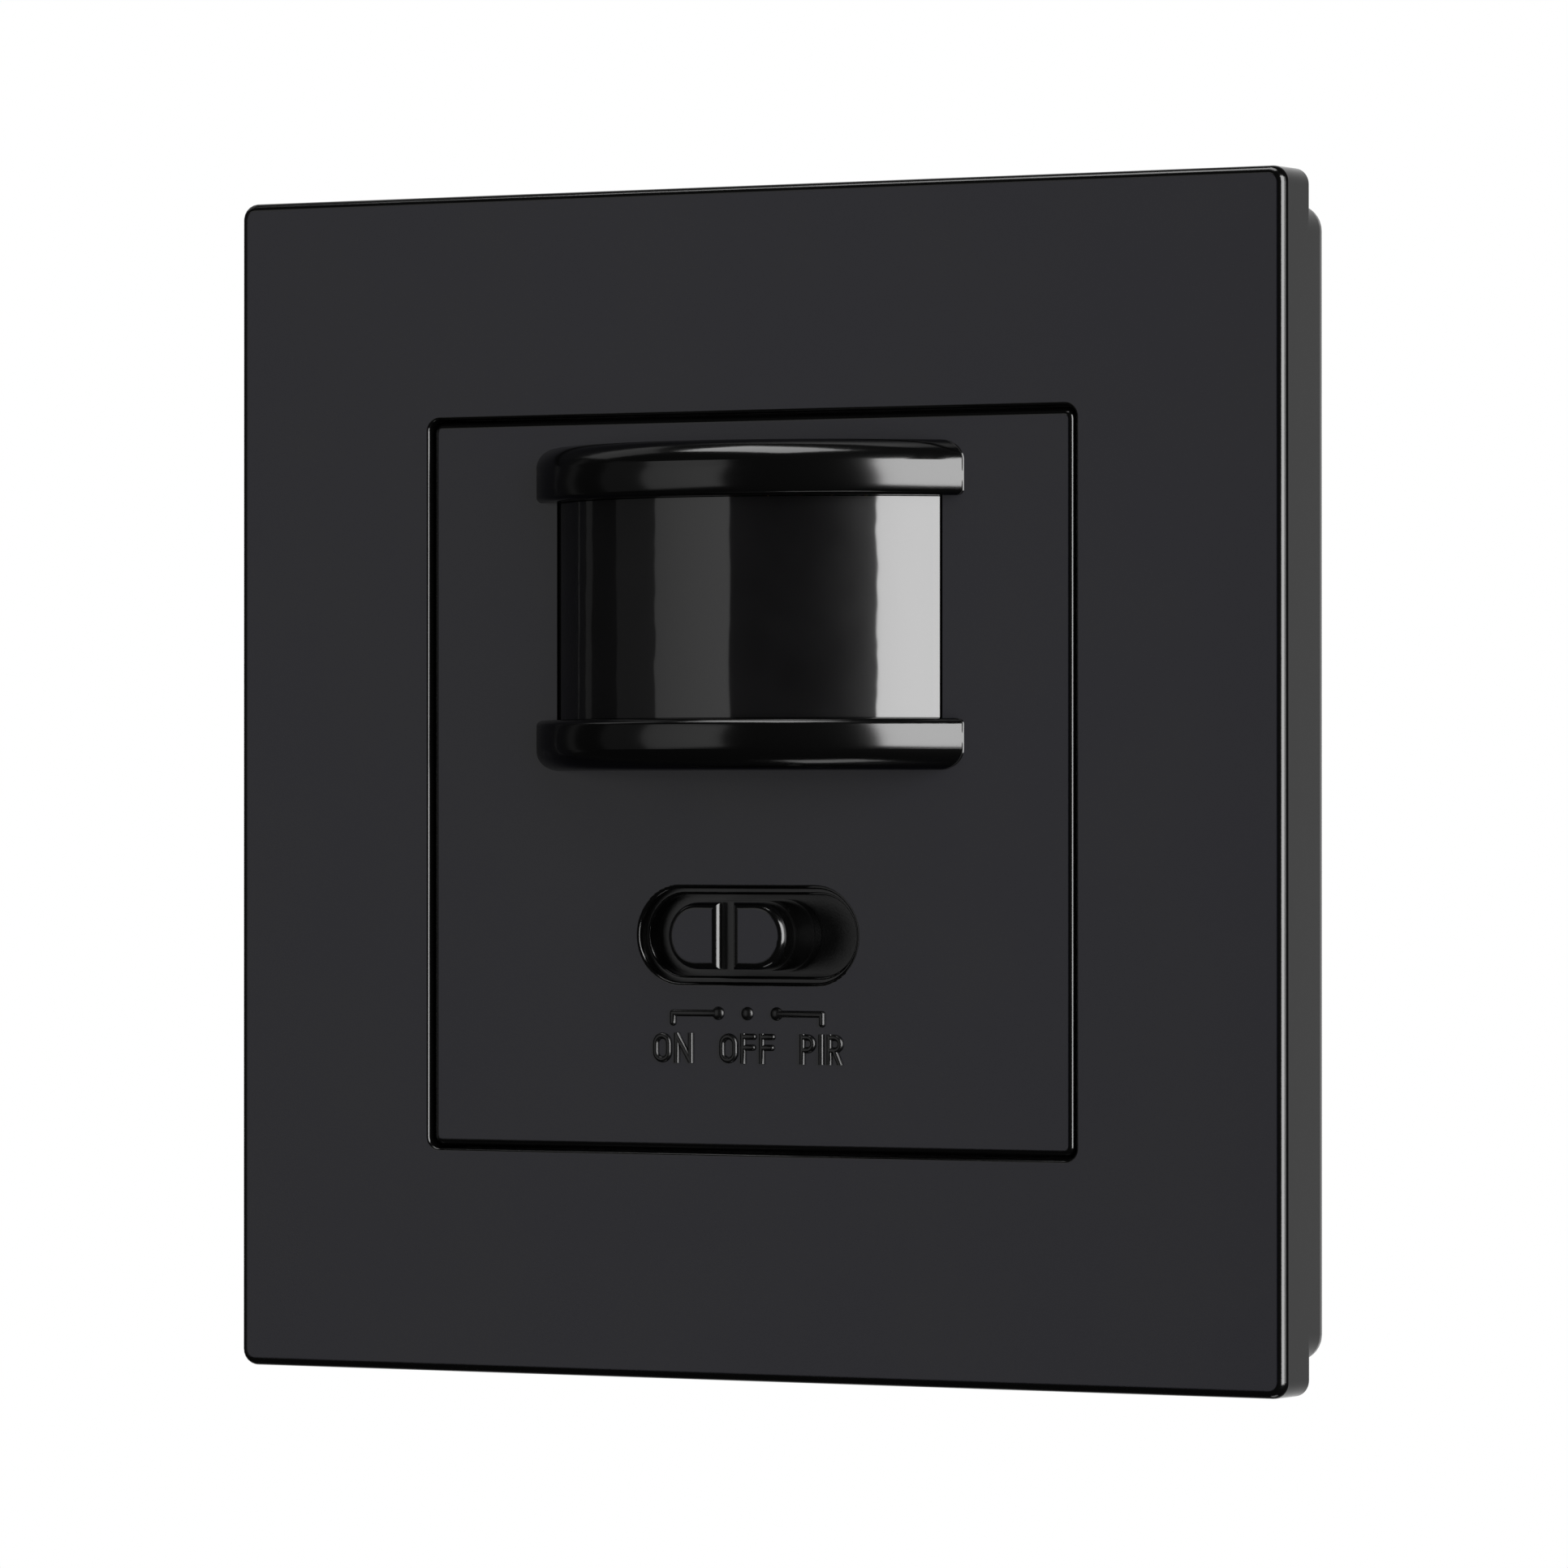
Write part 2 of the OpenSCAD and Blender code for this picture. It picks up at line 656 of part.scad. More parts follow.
module frame_shell() {
    difference() {
        soft_slab(frame_w, frame_w, frame_corner_r, frame_edge_r, z_frame_rear, z_front);
        between(z_frame_rear - past, z_frame_in) square(frame_in_w, center = true);
        between(z_frame_in - past, z_front - opening_edge_r)
            plan(opening_w, opening_w, opening_corner_r);
        between(z_front - opening_edge_r, z_front + past)
            plan(opening_w + 2 * opening_edge_r, opening_w + 2 * opening_edge_r,
                opening_corner_r + opening_edge_r);
        side_reliefs();
    }
    translate([0, 0, z_front - opening_edge_r])
        inner_edge(opening_w, opening_w, opening_corner_r, opening_edge_r);
}

module cover_frame() {
    color(satin_black) upright() {
        frame_shell();
        at_hooks() along_x(hook_w) hook_section();
    }
}

// Mounting base

module base_tray() {
    mirror([0, 0, 1])
        difference() {
            soft_slab(base_w, base_w, base_corner_r, base_edge_r, -z_frame_in, 0);
            between(-z_frame_in - past, -base_floor_t) square(base_in_w, center = true);
        }
    between(base_floor_t, collar_top) difference() {
        plan(collar_in_w + 2 * collar_t, collar_in_w + 2 * collar_t, collar_t);
        square(collar_in_w, center = true);
    }
}

module mounting_base() {
    color(satin_black) upright() difference() {
        base_tray();
        between(-past, base_floor_t + past) plan(mouth_w, mouth_w, mouth_corner_r);
        between(-past, base_floor_t + past)
            for (x = [-1, 1]) translate([x * fix_spacing / 2, 0]) stadium(fix_slot_l, fix_slot_w);
        between(-past, base_floor_t + past) at_flange_screws() circle(d = flange_screw_d);
        at_hooks() hook_pocket();
        for (x = [-1, 1]) translate([x * rib_x, 0, rib_z])
            rotate([90, 0, 0])
                cylinder(r = skirt_rib + slip, h = skirt_rib_l + 2 * slip, center = true);
    }
}

// Blind pocket in the base's wall that takes a hook's barb
module hook_pocket() {
    translate([0, (hook_barb + slip) / 2, z_hook_end + barb_h / 2])
        cube([hook_w + 2 * slip, hook_barb + 3 * slip, barb_h + 2 * slip], center = true);
}

// Centre plate

// Section of a rail through its upright axis, with the outer edge on top
module rail_section(h) {
    square([rail_r - rail_edge_r, h]);
    square([rail_r - rail_inner_r, h - rail_edge_r]);
    translate([0, rail_inner_r]) square([rail_r, h - rail_edge_r - rail_inner_r]);
    translate([rail_r - rail_edge_r, h - rail_edge_r]) circle(rail_edge_r);
    translate([rail_r - rail_inner_r, rail_inner_r]) circle(rail_inner_r);
}

// Arched rail that starts at y = 0 and rises to y = h
module rail(h) {
    intersection() {
        translate([0, 0, z_axis]) rotate([-90, 0, 0]) rotate_extrude() rail_section(h);
        translate([-rail_r, 0, z_plate - lap]) cube([2 * rail_r, h, rail_r]);
    }
}

module plate_body() {
    skirt_in_w = plate_w - 2 * skirt_t;
    soft_slab(plate_w, plate_w, plate_corner_r, plate_edge_r, z_plate_in, z_plate);
    between(z_flange, z_plate_in) difference() {
        plan(plate_w, plate_w, plate_corner_r);
        square(skirt_in_w, center = true);
        at_flange_screws() circle(d = flange_head_d + slip);
    }
    for (x = [-1, 1]) translate([x * rib_x, 0, rib_z]) skirt_snap_rib();
    if (rib_x > plate_w / 2) translate([0, 0, rib_z]) skirt_rib_webs();
    translate([0, recess_mid, 0])
        between(z_recess_in, z_plate_in) stadium(recess_w + 2 * recess_t, recess_h + 2 * recess_t);
    translate([0, lens_mid, 0]) for (x = [-1, 1], y = [-1, 1]) translate([x * pin_x, y * pin_y]) {
        between(z_foot, z_plate_in) circle(d = 2 * retainer_pin_d);
        between(z_foot - retainer_t - 2 * slip, z_foot) circle(d = retainer_pin_d);
    }
}

// Half-round rib that snaps into the collar
module skirt_snap_rib() {
    rotate([90, 0, 0]) cylinder(r = skirt_rib, h = skirt_rib_l, center = true);
}

// Webs that carry the snap ribs where the collar is wider than the plate
module skirt_rib_webs() {
    web_w = rib_x - (plate_w - skirt_t) / 2;
    for (x = [-1, 1]) translate([x * (rib_x - web_w / 2), 0, 0])
        cube([web_w, skirt_rib_l, 2 * skirt_rib], center = true);
}

module plate_cuts() {
    translate([-lens_half - slip, lens_bottom, z_plate_in - past])
        cube([2 * (lens_half + slip), lens_h, plate_t + 2 * past]);
    translate([0, recess_mid, 0]) {
        between(z_recess, z_rim) stadium(recess_w, recess_h);
        between(z_rim - rim_edge_r, z_rim) stadium(recess_w + 2 * rim_edge_r, recess_h + 2 * rim_edge_r);
        between(z_rim, z_plate) stadium(rim_w, rim_h);
        between(z_plate - recess_edge_r, z_plate + past)
            stadium(rim_w + 2 * recess_edge_r, rim_h + 2 * recess_edge_r);
        between(z_recess_in - past, z_recess + past) square([slot_l, slot_h], center = true);
    }
}

module centre_plate() {
    color(satin_black) upright() {
        difference() {
            plate_body();
            plate_cuts();
        }
        translate([0, recess_mid, z_rim - rim_edge_r])
            inner_edge(recess_w, recess_h, recess_h / 2, rim_edge_r);
        translate([0, recess_mid, z_plate - recess_edge_r])
            inner_edge(rim_w, rim_h, rim_h / 2, recess_edge_r);
        translate([0, lens_top, 0]) rail(top_rail_h);
        translate([0, lens_bottom, 0]) mirror([0, 1, 0]) rail(bottom_rail_h);
    }
}

// Lens and its retainer

// Section of the lens seen from above: an arch on two straight sides with feet
module lens_section(facets) {
    difference() {
        union() {
            intersection() {
                translate([0, z_axis]) circle(lens_r);
                translate([-lens_r, z_plate]) square([2 * lens_r, lens_r]);
            }
            translate([-lens_half, z_foot]) square([2 * lens_half, z_plate - z_foot]);
            translate([-lens_half - lens_foot, z_foot])
                square([2 * (lens_half + lens_foot), lens_foot_t]);
        }
        intersection() {
            translate([0, z_axis]) circle(lens_in_r);
            translate([-lens_r, z_plate]) square([2 * lens_r, lens_r]);
        }
        translate([-lens_in_half, z_foot - past])
            square([2 * lens_in_half, z_plate - z_foot + past]);
        for (i = [0 : facets - 1])
            translate([0, z_axis]) rotate((i - (facets - 1) / 2) * facet_step)
                translate([0, lens_in_r + facet_d - facet_r]) circle(facet_r);
    }
}

module pir_lens() {
    row_h = (lens_h - 2 * close) / len(facet_rows);
    color(lens_black) upright()
        for (i = [0 : len(facet_rows) - 1])
            along_y(lens_bottom + close + i * row_h, lens_bottom + close + (i + 1) * row_h)
                lens_section(facet_rows[i]);
}

module lens_retainer() {
    window_w = 2 * lens_in_half;
    window_h = lens_h - 2 * slip;
    color(inner_black) upright() translate([0, lens_mid, 0])
        between(z_foot - retainer_t, z_foot) difference() {
            plan(retainer_w, retainer_h, retainer_rim / 2);
            square([window_w, window_h], center = true);
            for (x = [-1, 1], y = [-1, 1])
                translate([x * pin_x, y * pin_y]) circle(d = retainer_pin_d + 2 * close);
        }
}

// Slide switch

// Section of the grip groove, with rounded shoulders
module grip_section() {
    shoulder_x = grip_w / 2 + grip_edge_r;
    translate([-grip_w / 2, z_knob - grip_d]) square([grip_w, grip_d + past]);
    difference() {
        translate([-shoulder_x, z_knob - grip_edge_r]) square([2 * shoulder_x, grip_edge_r + past]);
        for (x = [-shoulder_x, shoulder_x]) translate([x, z_knob - grip_edge_r]) circle(grip_edge_r);
    }
}

module slide_knob() {
    z_ledge = z_knob - knob_ledge_d;
    z_foot_top = z_knob_rear + knob_foot_h;
    color(satin_black) upright() translate([0, recess_mid, 0]) difference() {
        union() {
            soft_slab(knob_w, knob_h, knob_h / 2, knob_edge_r, z_ledge, z_knob);
            between(z_foot_top, z_ledge) stadium(knob_w + 2 * knob_step, knob_h + 2 * knob_step);
            between(z_knob_rear, z_foot_top) stadium(knob_w + 4 * knob_step, knob_h + 4 * knob_step);
        }
        along_y(-knob_h, knob_h) grip_section();
        between(z_knob_rear - past, z_knob_rear + lever_grip) square(lever_w, center = true);
    }
}

module switch_actuator() {
    slider_h = can_h - 2 * can_t - 2 * close;
    slider_d = z_slider_top - (z_sensor + 2 * can_t + close);
    color("#e8e6df") upright() translate([0, recess_mid, 0]) {
        translate([-slider_w / 2, -slider_h / 2, z_slider_top - slider_d])
            cube([slider_w, slider_h, slider_d]);
        between(z_slider_top, z_knob_rear + lever_grip) square(lever_w, center = true);
    }
}

module switch_can() {
    color(steel) upright() translate([0, recess_mid, 0]) difference() {
        between(z_sensor, z_can) square([can_w, can_h], center = true);
        between(z_sensor - past, z_can - can_t)
            square([can_w - 2 * can_t, can_h - 2 * can_t], center = true);
        between(z_can - can_t - past, z_can + past) square([slot_l, slot_h], center = true);
    }
}

module switch_base() {
    inner_w = can_w - 2 * can_t - 2 * close;
    inner_h = can_h - 2 * can_t - 2 * close;
    color("#6a4a2c") upright() translate([0, recess_mid, 0])
        between(z_sensor, z_sensor + 2 * can_t) square([inner_w, inner_h], center = true);
}

// Rear housing

// Column on the cavity's side wall that carries a board
module column(y, top) {
    for (x = [-1, 1]) translate([x * column_x, y, 0]) difference() {
        between(z_cavity, top) square([column_d, column_w], center = true);
        translate([x * (hole_x - column_x), 0, top - board_screw_l])
            cylinder(d = board_screw_d, h = board_screw_l + past);
    }
}

module housing_shell() {
    mirror([0, 0, 1]) soft_slab(housing_w, housing_w, housing_corner_r, housing_edge_r,
        -base_floor_t, housing_d);
    between(base_floor_t, z_flange) plan(flange_w, flange_w, plate_corner_r);
}

module rear_housing() {
    boss_w = terminal_w;
    boss_d = wire_l - housing_t;
    color(inner_black) upright() {
        difference() {
            union() {
                difference() {
                    housing_shell();
                    between(z_cavity, z_flange + past) plan(cavity_w, cavity_w, cavity_corner_r);
                }
                translate([-boss_w / 2, -cavity_w / 2, z_wire - wire_d])
                    cube([boss_w, boss_d, z_power_rear - slip - z_wire + wire_d]);
            }
            between(base_floor_t - past, z_flange + past)
                at_flange_screws() circle(d = flange_screw_d);
            for (x = terminal_xs) {
                translate([x, -housing_w / 2 + wire_l / 2, z_wire])
                    rotate([90, 0, 0]) cylinder(d = wire_d, h = wire_l + 2 * past, center = true);
                translate([x, terminal_y, -housing_d - past])
                    cylinder(d = driver_d, h = housing_t + 2 * past);
            }
        }
        column(sensor_column_y, z_sensor_rear);
        column(power_column_y, z_power_rear);
    }
}

module housing_screws() {
    color(steel) upright() at_flange_screws()
        small_screw(flange_head_d, flange_screw_d, flange_t + base_floor_t - slip, z_flange);
}

// Sensor board and its parts

module sensor_board() {
    color(board_green) upright() between(z_sensor_rear, z_sensor) difference() {
        plan(board_w, board_w, board_corner_r);
        for (x = [-1, 1]) translate([x * hole_x, sensor_column_y])
            circle(d = board_screw_d + 2 * close);
        for (x = link_xs) translate([x, link_row]) circle(d = link_pin_d + 2 * close);
        translate([0, lens_mid]) at_pyro_legs() circle(d = pyro_leg_d + 2 * close);
    }
}

module sensor_board_screws() {
    color(steel) upright() for (x = [-1, 1]) translate([x * hole_x, sensor_column_y])
        small_screw(board_head_d, board_screw_d, board_t + board_screw_l - 2 * slip, z_sensor);
}

// The detector's three legs
module at_pyro_legs() {
    for (turn = [0, 90, 180]) rotate(turn) translate([pyro_leg_r, 0]) children();
}

module pyro_base() {
    color(brass) upright() translate([0, lens_mid, 0]) {
        between(z_sensor, z_sensor + pyro_flange_t) circle(d = pyro_flange_d);
        at_pyro_legs() between(z_sensor_rear - board_t / 2, z_sensor) circle(d = pyro_leg_d);
    }
}

module pyro_can() {
    rear = z_sensor + pyro_flange_t;
    front = rear + pyro_can_h;
    color(steel) upright() translate([0, lens_mid, 0]) difference() {
        between(rear, front) circle(d = pyro_can_d);
        between(rear - past, front - pyro_can_t) circle(d = pyro_can_d - 2 * pyro_can_t);
        between(front - pyro_can_t - past, front + past)
            square([pyro_window_w, pyro_window_h], center = true);
    }
}

module pyro_window() {
    front = z_sensor + pyro_flange_t + pyro_can_h;
    color("#4a4660") upright() translate([0, lens_mid, 0])
        between(front - pyro_can_t, front)
            square([pyro_window_w - 2 * close, pyro_window_h - 2 * close], center = true);
}

module light_sensor() {
    color("#d8d4c6") upright() translate([light_x, lens_mid, z_sensor]) {
        cylinder(d = light_d + 2 * light_rim, h = light_rim_t);
        cylinder(d = light_d, h = light_h);
        translate([0, 0, light_h]) sphere(d = light_d);
    }
}

module trimmer(x) {
    color("#2f5fa8") upright() translate([x, trimmer_y, z_sensor]) difference() {
        linear_extrude(trimmer_h) square(trimmer_w, center = true);
        translate([0, 0, trimmer_h - rotor_shaft_l - close])
            cylinder(d = rotor_shaft_d + 2 * close, h = rotor_shaft_l + close + past);
    }
}

module rotor(x) {
    color("#e9e7e1") upright() translate([x, trimmer_y, z_sensor + trimmer_h]) difference() {
        union() {
            translate([0, 0, close]) cylinder(d = rotor_d, h = rotor_h - close);
            translate([0, 0, -rotor_shaft_l]) cylinder(d = rotor_shaft_d, h = rotor_shaft_l + close);
        }
        translate([-rotor_d, -rotor_slot_w / 2, rotor_h - rotor_slot_d])
            cube([2 * rotor_d, rotor_slot_w, rotor_slot_d + past]);
    }
}

module time_trimmer() {
    trimmer(trimmer_places[0]);
}

module time_rotor() {
    rotor(trimmer_places[0]);
}

module lux_trimmer() {
    trimmer(trimmer_places[1]);
}

module lux_rotor() {
    rotor(trimmer_places[1]);
}

// Chip under the sensor board, with a row of legs on each long side
module control_chip() {
    leg_pitch = chip_w / chip_legs;
    color(inner_black) upright() translate([0, sensor_column_y, z_sensor_rear]) {
        translate([-chip_w / 2, -chip_h / 2, -chip_t]) cube([chip_w, chip_h, chip_t]);
        for (i = [0 : chip_legs - 1], y = [-1, 1])
            translate([(i - (chip_legs - 1) / 2) * leg_pitch, y * (chip_h + chip_leg_l) / 2, 0])
                translate([0, 0, -chip_leg_t / 2])
                    cube([chip_leg_w, chip_leg_l, chip_leg_t], center = true);
    }
}

module link_header() {
    color(inner_black) upright() translate([0, link_row, 0])
        between(z_power, z_power + link_body_w) difference() {
            square([link_count * link_pitch, link_body_w], center = true);
            for (x = link_xs) translate([x, 0]) circle(d = link_pin_d + 2 * close);
        }
}

module link_pins() {
    color(brass) upright() for (x = link_xs) translate([x, link_row])
        between(z_power_rear - link_tail, z_sensor) circle(d = link_pin_d);
}

// Power board and its parts

module power_board() {
    notch_w = column_w + 2 * slip;
    notch_d = column_d + slip;
    color(board_green) upright() between(z_power_rear, z_power) difference() {
        plan(board_w, board_w, board_corner_r);
        for (x = [-1, 1]) {
            translate([x * (cavity_w / 2 - notch_d / 2), sensor_column_y])
                square([notch_d, notch_w], center = true);
            translate([x * hole_x, power_column_y]) circle(d = board_screw_d + 2 * close);
        }
        for (x = link_xs) translate([x, link_row]) circle(d = link_pin_d + 2 * close);
    }
}

module power_board_screws() {
    color(steel) upright() for (x = [-1, 1]) translate([x * hole_x, power_column_y])
        small_screw(board_head_d, board_screw_d, board_t + board_screw_l - 2 * slip, z_power);
}

module relay() {
    color("#1f3f7a") upright() translate([relay_at[0], relay_at[1], z_power_rear])
        mirror([0, 0, 1]) soft_slab(relay_w, relay_h, case_corner_r, case_edge_r, 0, relay_d);
}

module film_capacitor() {
    color("#d9b23a") upright() translate([film_at[0], film_at[1], z_power_rear])
        mirror([0, 0, 1]) soft_slab(film_w, film_h, case_corner_r, case_edge_r, 0, film_d);
}

// Can with a rolled groove near the board and a rounded end
module electrolytic_capacitor() {
    color("#26354f") upright() translate([electro_at[0], electro_at[1], z_power_rear])
        mirror([0, 0, 1]) difference() {
            rotate_extrude() {
                square([electro_d / 2 - case_edge_r, electro_h]);
                square([electro_d / 2, electro_h - case_edge_r]);
                translate([electro_d / 2 - case_edge_r, electro_h - case_edge_r]) circle(case_edge_r);
            }
            translate([0, 0, electro_groove_z]) rotate_extrude()
                translate([(electro_d + electro_groove_r) / 2, 0]) circle(electro_groove_r);
        }
}

// Disc that stands on edge on its two legs
module varistor() {
    color("#2b6cb0") upright() translate([varistor_at[0], varistor_at[1], z_power_rear]) {
        translate([0, 0, -varistor_leg_l - varistor_d / 2]) rotate([0, 90, 0])
            cylinder(d = varistor_d, h = varistor_t, center = true);
        for (y = [-1, 1]) translate([0, y * varistor_d / 4, -varistor_leg_l - varistor_d / 2])
            cylinder(d = varistor_leg_d, h = varistor_leg_l + varistor_d / 2);
    }
}

module fuse() {
    color("#8c2f24") upright() translate([fuse_at[0], fuse_at[1], z_power_rear])
        mirror([0, 0, 1]) {
            cylinder(d = fuse_d, h = fuse_base_t);
            cylinder(d = fuse_d - 2 * fuse_rim, h = fuse_h);
        }
}

// Diodes that lie on the board side by side
module rectifier_diodes() {
    color(inner_black) upright() for (x = diode_xs)
        translate([x, diode_y, z_power_rear - diode_d / 2])
            rotate([90, 0, 0]) cylinder(d = diode_d, h = diode_l, center = true);
}

// Terminals

module terminal_block() {
    pocket_w = clamp_w + 2 * close;
    pocket_h = clamp_h + 2 * close;
    color("#2e6b4a") upright() difference() {
        translate([-terminal_w / 2, terminal_y0, z_terminal])
            cube([terminal_w, terminal_h, terminal_d]);
        for (x = terminal_xs) {
            translate([x, terminal_y, z_terminal - past])
                linear_extrude(z_clamp_top - z_terminal + past)
                    square([pocket_w, pocket_h], center = true);
            translate([x, terminal_y, z_wire]) rotate([90, 0, 0])
                cylinder(d = clamp_hole_d + 2 * slip, h = terminal_h);
        }
    }
}

module terminal_clamps() {
    color(brass) upright() for (x = terminal_xs) translate([x, terminal_y, 0]) difference() {
        translate([-clamp_w / 2, -clamp_h / 2, z_clamp]) cube([clamp_w, clamp_h, clamp_d]);
        translate([0, 0, z_wire]) rotate([90, 0, 0])
            cylinder(d = clamp_hole_d, h = clamp_h + 2 * past, center = true);
        translate([0, 0, z_clamp - past])
            cylinder(d = terminal_screw_d + 2 * close, h = z_wire - z_clamp + past);
    }
}

module terminal_screws() {
    color(steel) upright() for (x = terminal_xs) translate([x, terminal_y, 0]) difference() {
        union() {
            between(z_clamp - terminal_head_h, z_clamp) circle(d = terminal_head_d);
            between(z_clamp, z_wire - clamp_hole_d / 2 - slip) circle(d = terminal_screw_d);
        }
        translate([-terminal_head_d, -terminal_slot_w / 2, z_clamp - terminal_head_h - past])
            cube([2 * terminal_head_d, terminal_slot_w, terminal_slot_d + past]);
    }
}

cover_frame();
centre_plate();
pir_lens();
lens_retainer();
slide_knob();
switch_actuator();
switch_can();
switch_base();
mounting_base();
rear_housing();
housing_screws();
sensor_board();
sensor_board_screws();
pyro_base();
pyro_can();
pyro_window();
light_sensor();
time_trimmer();
time_rotor();
lux_trimmer();
lux_rotor();
control_chip();
link_header();
link_pins();
power_board();
power_board_screws();
relay();
film_capacitor();
electrolytic_capacitor();
varistor();
fuse();
rectifier_diodes();
terminal_block();
terminal_clamps();
terminal_screws();
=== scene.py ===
# Dresses a motion sensor light switch: the finish of every piece, the raised marks under the
# slide knob, the small screws, and the studio that shows them.
import json
import math

import bpy
from bpy.props import FloatProperty, FloatVectorProperty, IntProperty, PointerProperty
from mathutils import Matrix, Vector


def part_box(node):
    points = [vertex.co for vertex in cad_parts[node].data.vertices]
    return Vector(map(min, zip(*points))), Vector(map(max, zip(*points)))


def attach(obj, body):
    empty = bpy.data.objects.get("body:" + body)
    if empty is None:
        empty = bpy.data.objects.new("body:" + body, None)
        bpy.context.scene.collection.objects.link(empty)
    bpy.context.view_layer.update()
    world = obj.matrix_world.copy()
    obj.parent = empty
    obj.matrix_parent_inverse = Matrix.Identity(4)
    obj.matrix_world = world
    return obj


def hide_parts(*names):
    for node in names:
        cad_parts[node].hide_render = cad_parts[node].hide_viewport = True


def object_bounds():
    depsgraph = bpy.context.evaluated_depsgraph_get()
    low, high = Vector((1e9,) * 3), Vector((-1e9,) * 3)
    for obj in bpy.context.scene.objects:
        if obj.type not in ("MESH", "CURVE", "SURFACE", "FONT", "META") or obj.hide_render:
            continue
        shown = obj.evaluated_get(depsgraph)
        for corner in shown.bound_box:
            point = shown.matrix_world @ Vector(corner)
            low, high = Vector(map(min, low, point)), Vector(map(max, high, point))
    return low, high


bl_info = {
    "name": "Motion Sensor Switch",
    "version": (1, 0, 0),
    "blender": (4, 5, 0),
    "location": "View3D > Sidebar > Sensor Switch",
    "description": "Finishes a wall switch with a motion sensor and a slide selector",
    "category": "Object",
}

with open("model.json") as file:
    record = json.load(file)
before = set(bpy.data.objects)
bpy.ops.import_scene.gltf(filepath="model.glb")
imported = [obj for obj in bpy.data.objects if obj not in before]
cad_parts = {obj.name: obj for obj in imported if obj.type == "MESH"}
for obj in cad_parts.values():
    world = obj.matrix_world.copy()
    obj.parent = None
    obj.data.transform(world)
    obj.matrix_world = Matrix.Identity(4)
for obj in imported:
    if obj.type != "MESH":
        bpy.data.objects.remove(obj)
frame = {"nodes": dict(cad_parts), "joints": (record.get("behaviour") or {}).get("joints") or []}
CAD_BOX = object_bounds()

MM = 0.001
FRAME_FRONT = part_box("cover_frame")[0].y
KNOB_MIDDLE = sum(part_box("slide_knob"), Vector()) / 2
SLIDE = next(j for j in frame["joints"] if j["name"] == "selector_slide")
SLIDE_TRAVEL = SLIDE["range_m"][1]
# Stands up a mesh that lies on its back, to face the front
UPRIGHT = Matrix.Rotation(math.radians(90), 4, "X")


# Properties


def length(name, description, default):
    """A size in metres, written in millimetres."""
    return FloatProperty(
        name=name, description=description, default=default * MM, unit="LENGTH", precision=5
    )


def colour(name, description, default):
    """A linear colour."""
    return FloatVectorProperty(
        name=name, description=description, default=default,
        size=3, subtype="COLOR", min=0.0, max=1.0,
    )


def level(name, description, default):
    """A brightness, where 1 renders as white."""
    return FloatProperty(name=name, description=description, default=default, min=0.0)


def angle(name, description, degrees):
    """An angle, written in degrees."""
    return FloatProperty(
        name=name, description=description, default=math.radians(degrees), subtype="ANGLE"
    )


class CasingSizes(bpy.types.PropertyGroup):
    """Sizes that the casing's finish follows."""

    plate_recess: length("Plate recess", "How far the plate lies behind the frame's face", 0.2)
    rail_apex: length("Rail apex", "Distance of a rail's foremost line from the lens", 1.35)
    rail_bulge: length("Rail bulge", "Radius that a rail's front bulges by", 3.4)
    rail_bend: length("Rail bend", "Distance from the apex past which the bulge runs straight", 0.7)


class MarkSizes(bpy.types.PropertyGroup):
    """Sizes of the raised marks under the slide knob."""

    sunk: length("Sunk", "How far the marks go into the plate", 0.05)
    row_drop: length("Row drop", "Distance of the dots below the knob's middle", 5.25)
    dot_d: length("Dot", "Diameter of a position dot", 0.92)
    line_w: length("Line", "Width of the bracket lines", 0.46)
    reach: length("Reach", "Distance of a bracket's outer end from the middle", 5.98)
    foot: length("Foot", "Distance of a bracket's foot below the dots", 0.88)
    word_drop: length("Word drop", "Distance of the words' upper edge below the dots", 1.34)
    word_x: length("Word offset", "Distance of the outer words' middle from the middle", 5.73)
    letter_h: length("Letter height", "Height of a letter", 2.03)
    letter_w: length("Letter width", "Width of the letter O", 1.44)
    letter_gap: length("Letter gap", "Gap between two letters", 0.19)
    stroke: length("Stroke", "Width of a letter's stroke", 0.43)


class ScrewSizes(bpy.types.PropertyGroup):
    """Sizes of the small screws."""

    housing_head: length("Housing head", "Diameter of a housing screw's head", 3.8)
    housing_shank: length("Housing shank", "Diameter of a housing screw's shank", 2.0)
    board_head: length("Board head", "Diameter of a board screw's head", 3.2)
    board_shank: length("Board shank", "Diameter of a board screw's shank", 1.6)
    head_h: length("Head height", "Height of a screw's head", 1.3)
    cross_w: length("Cross width", "Width of the cross recess", 0.45)
    cross_l: length("Cross length", "Length of the cross recess", 1.9)
    cross_d: length("Cross depth", "Depth of the cross recess", 0.75)
    pitch: length("Pitch", "Pitch of the thread", 0.7)
    thread: length("Thread", "Depth of the thread", 0.22)
    seed: IntProperty(name="Seed", description="Seed of the screws' turns", default=7)


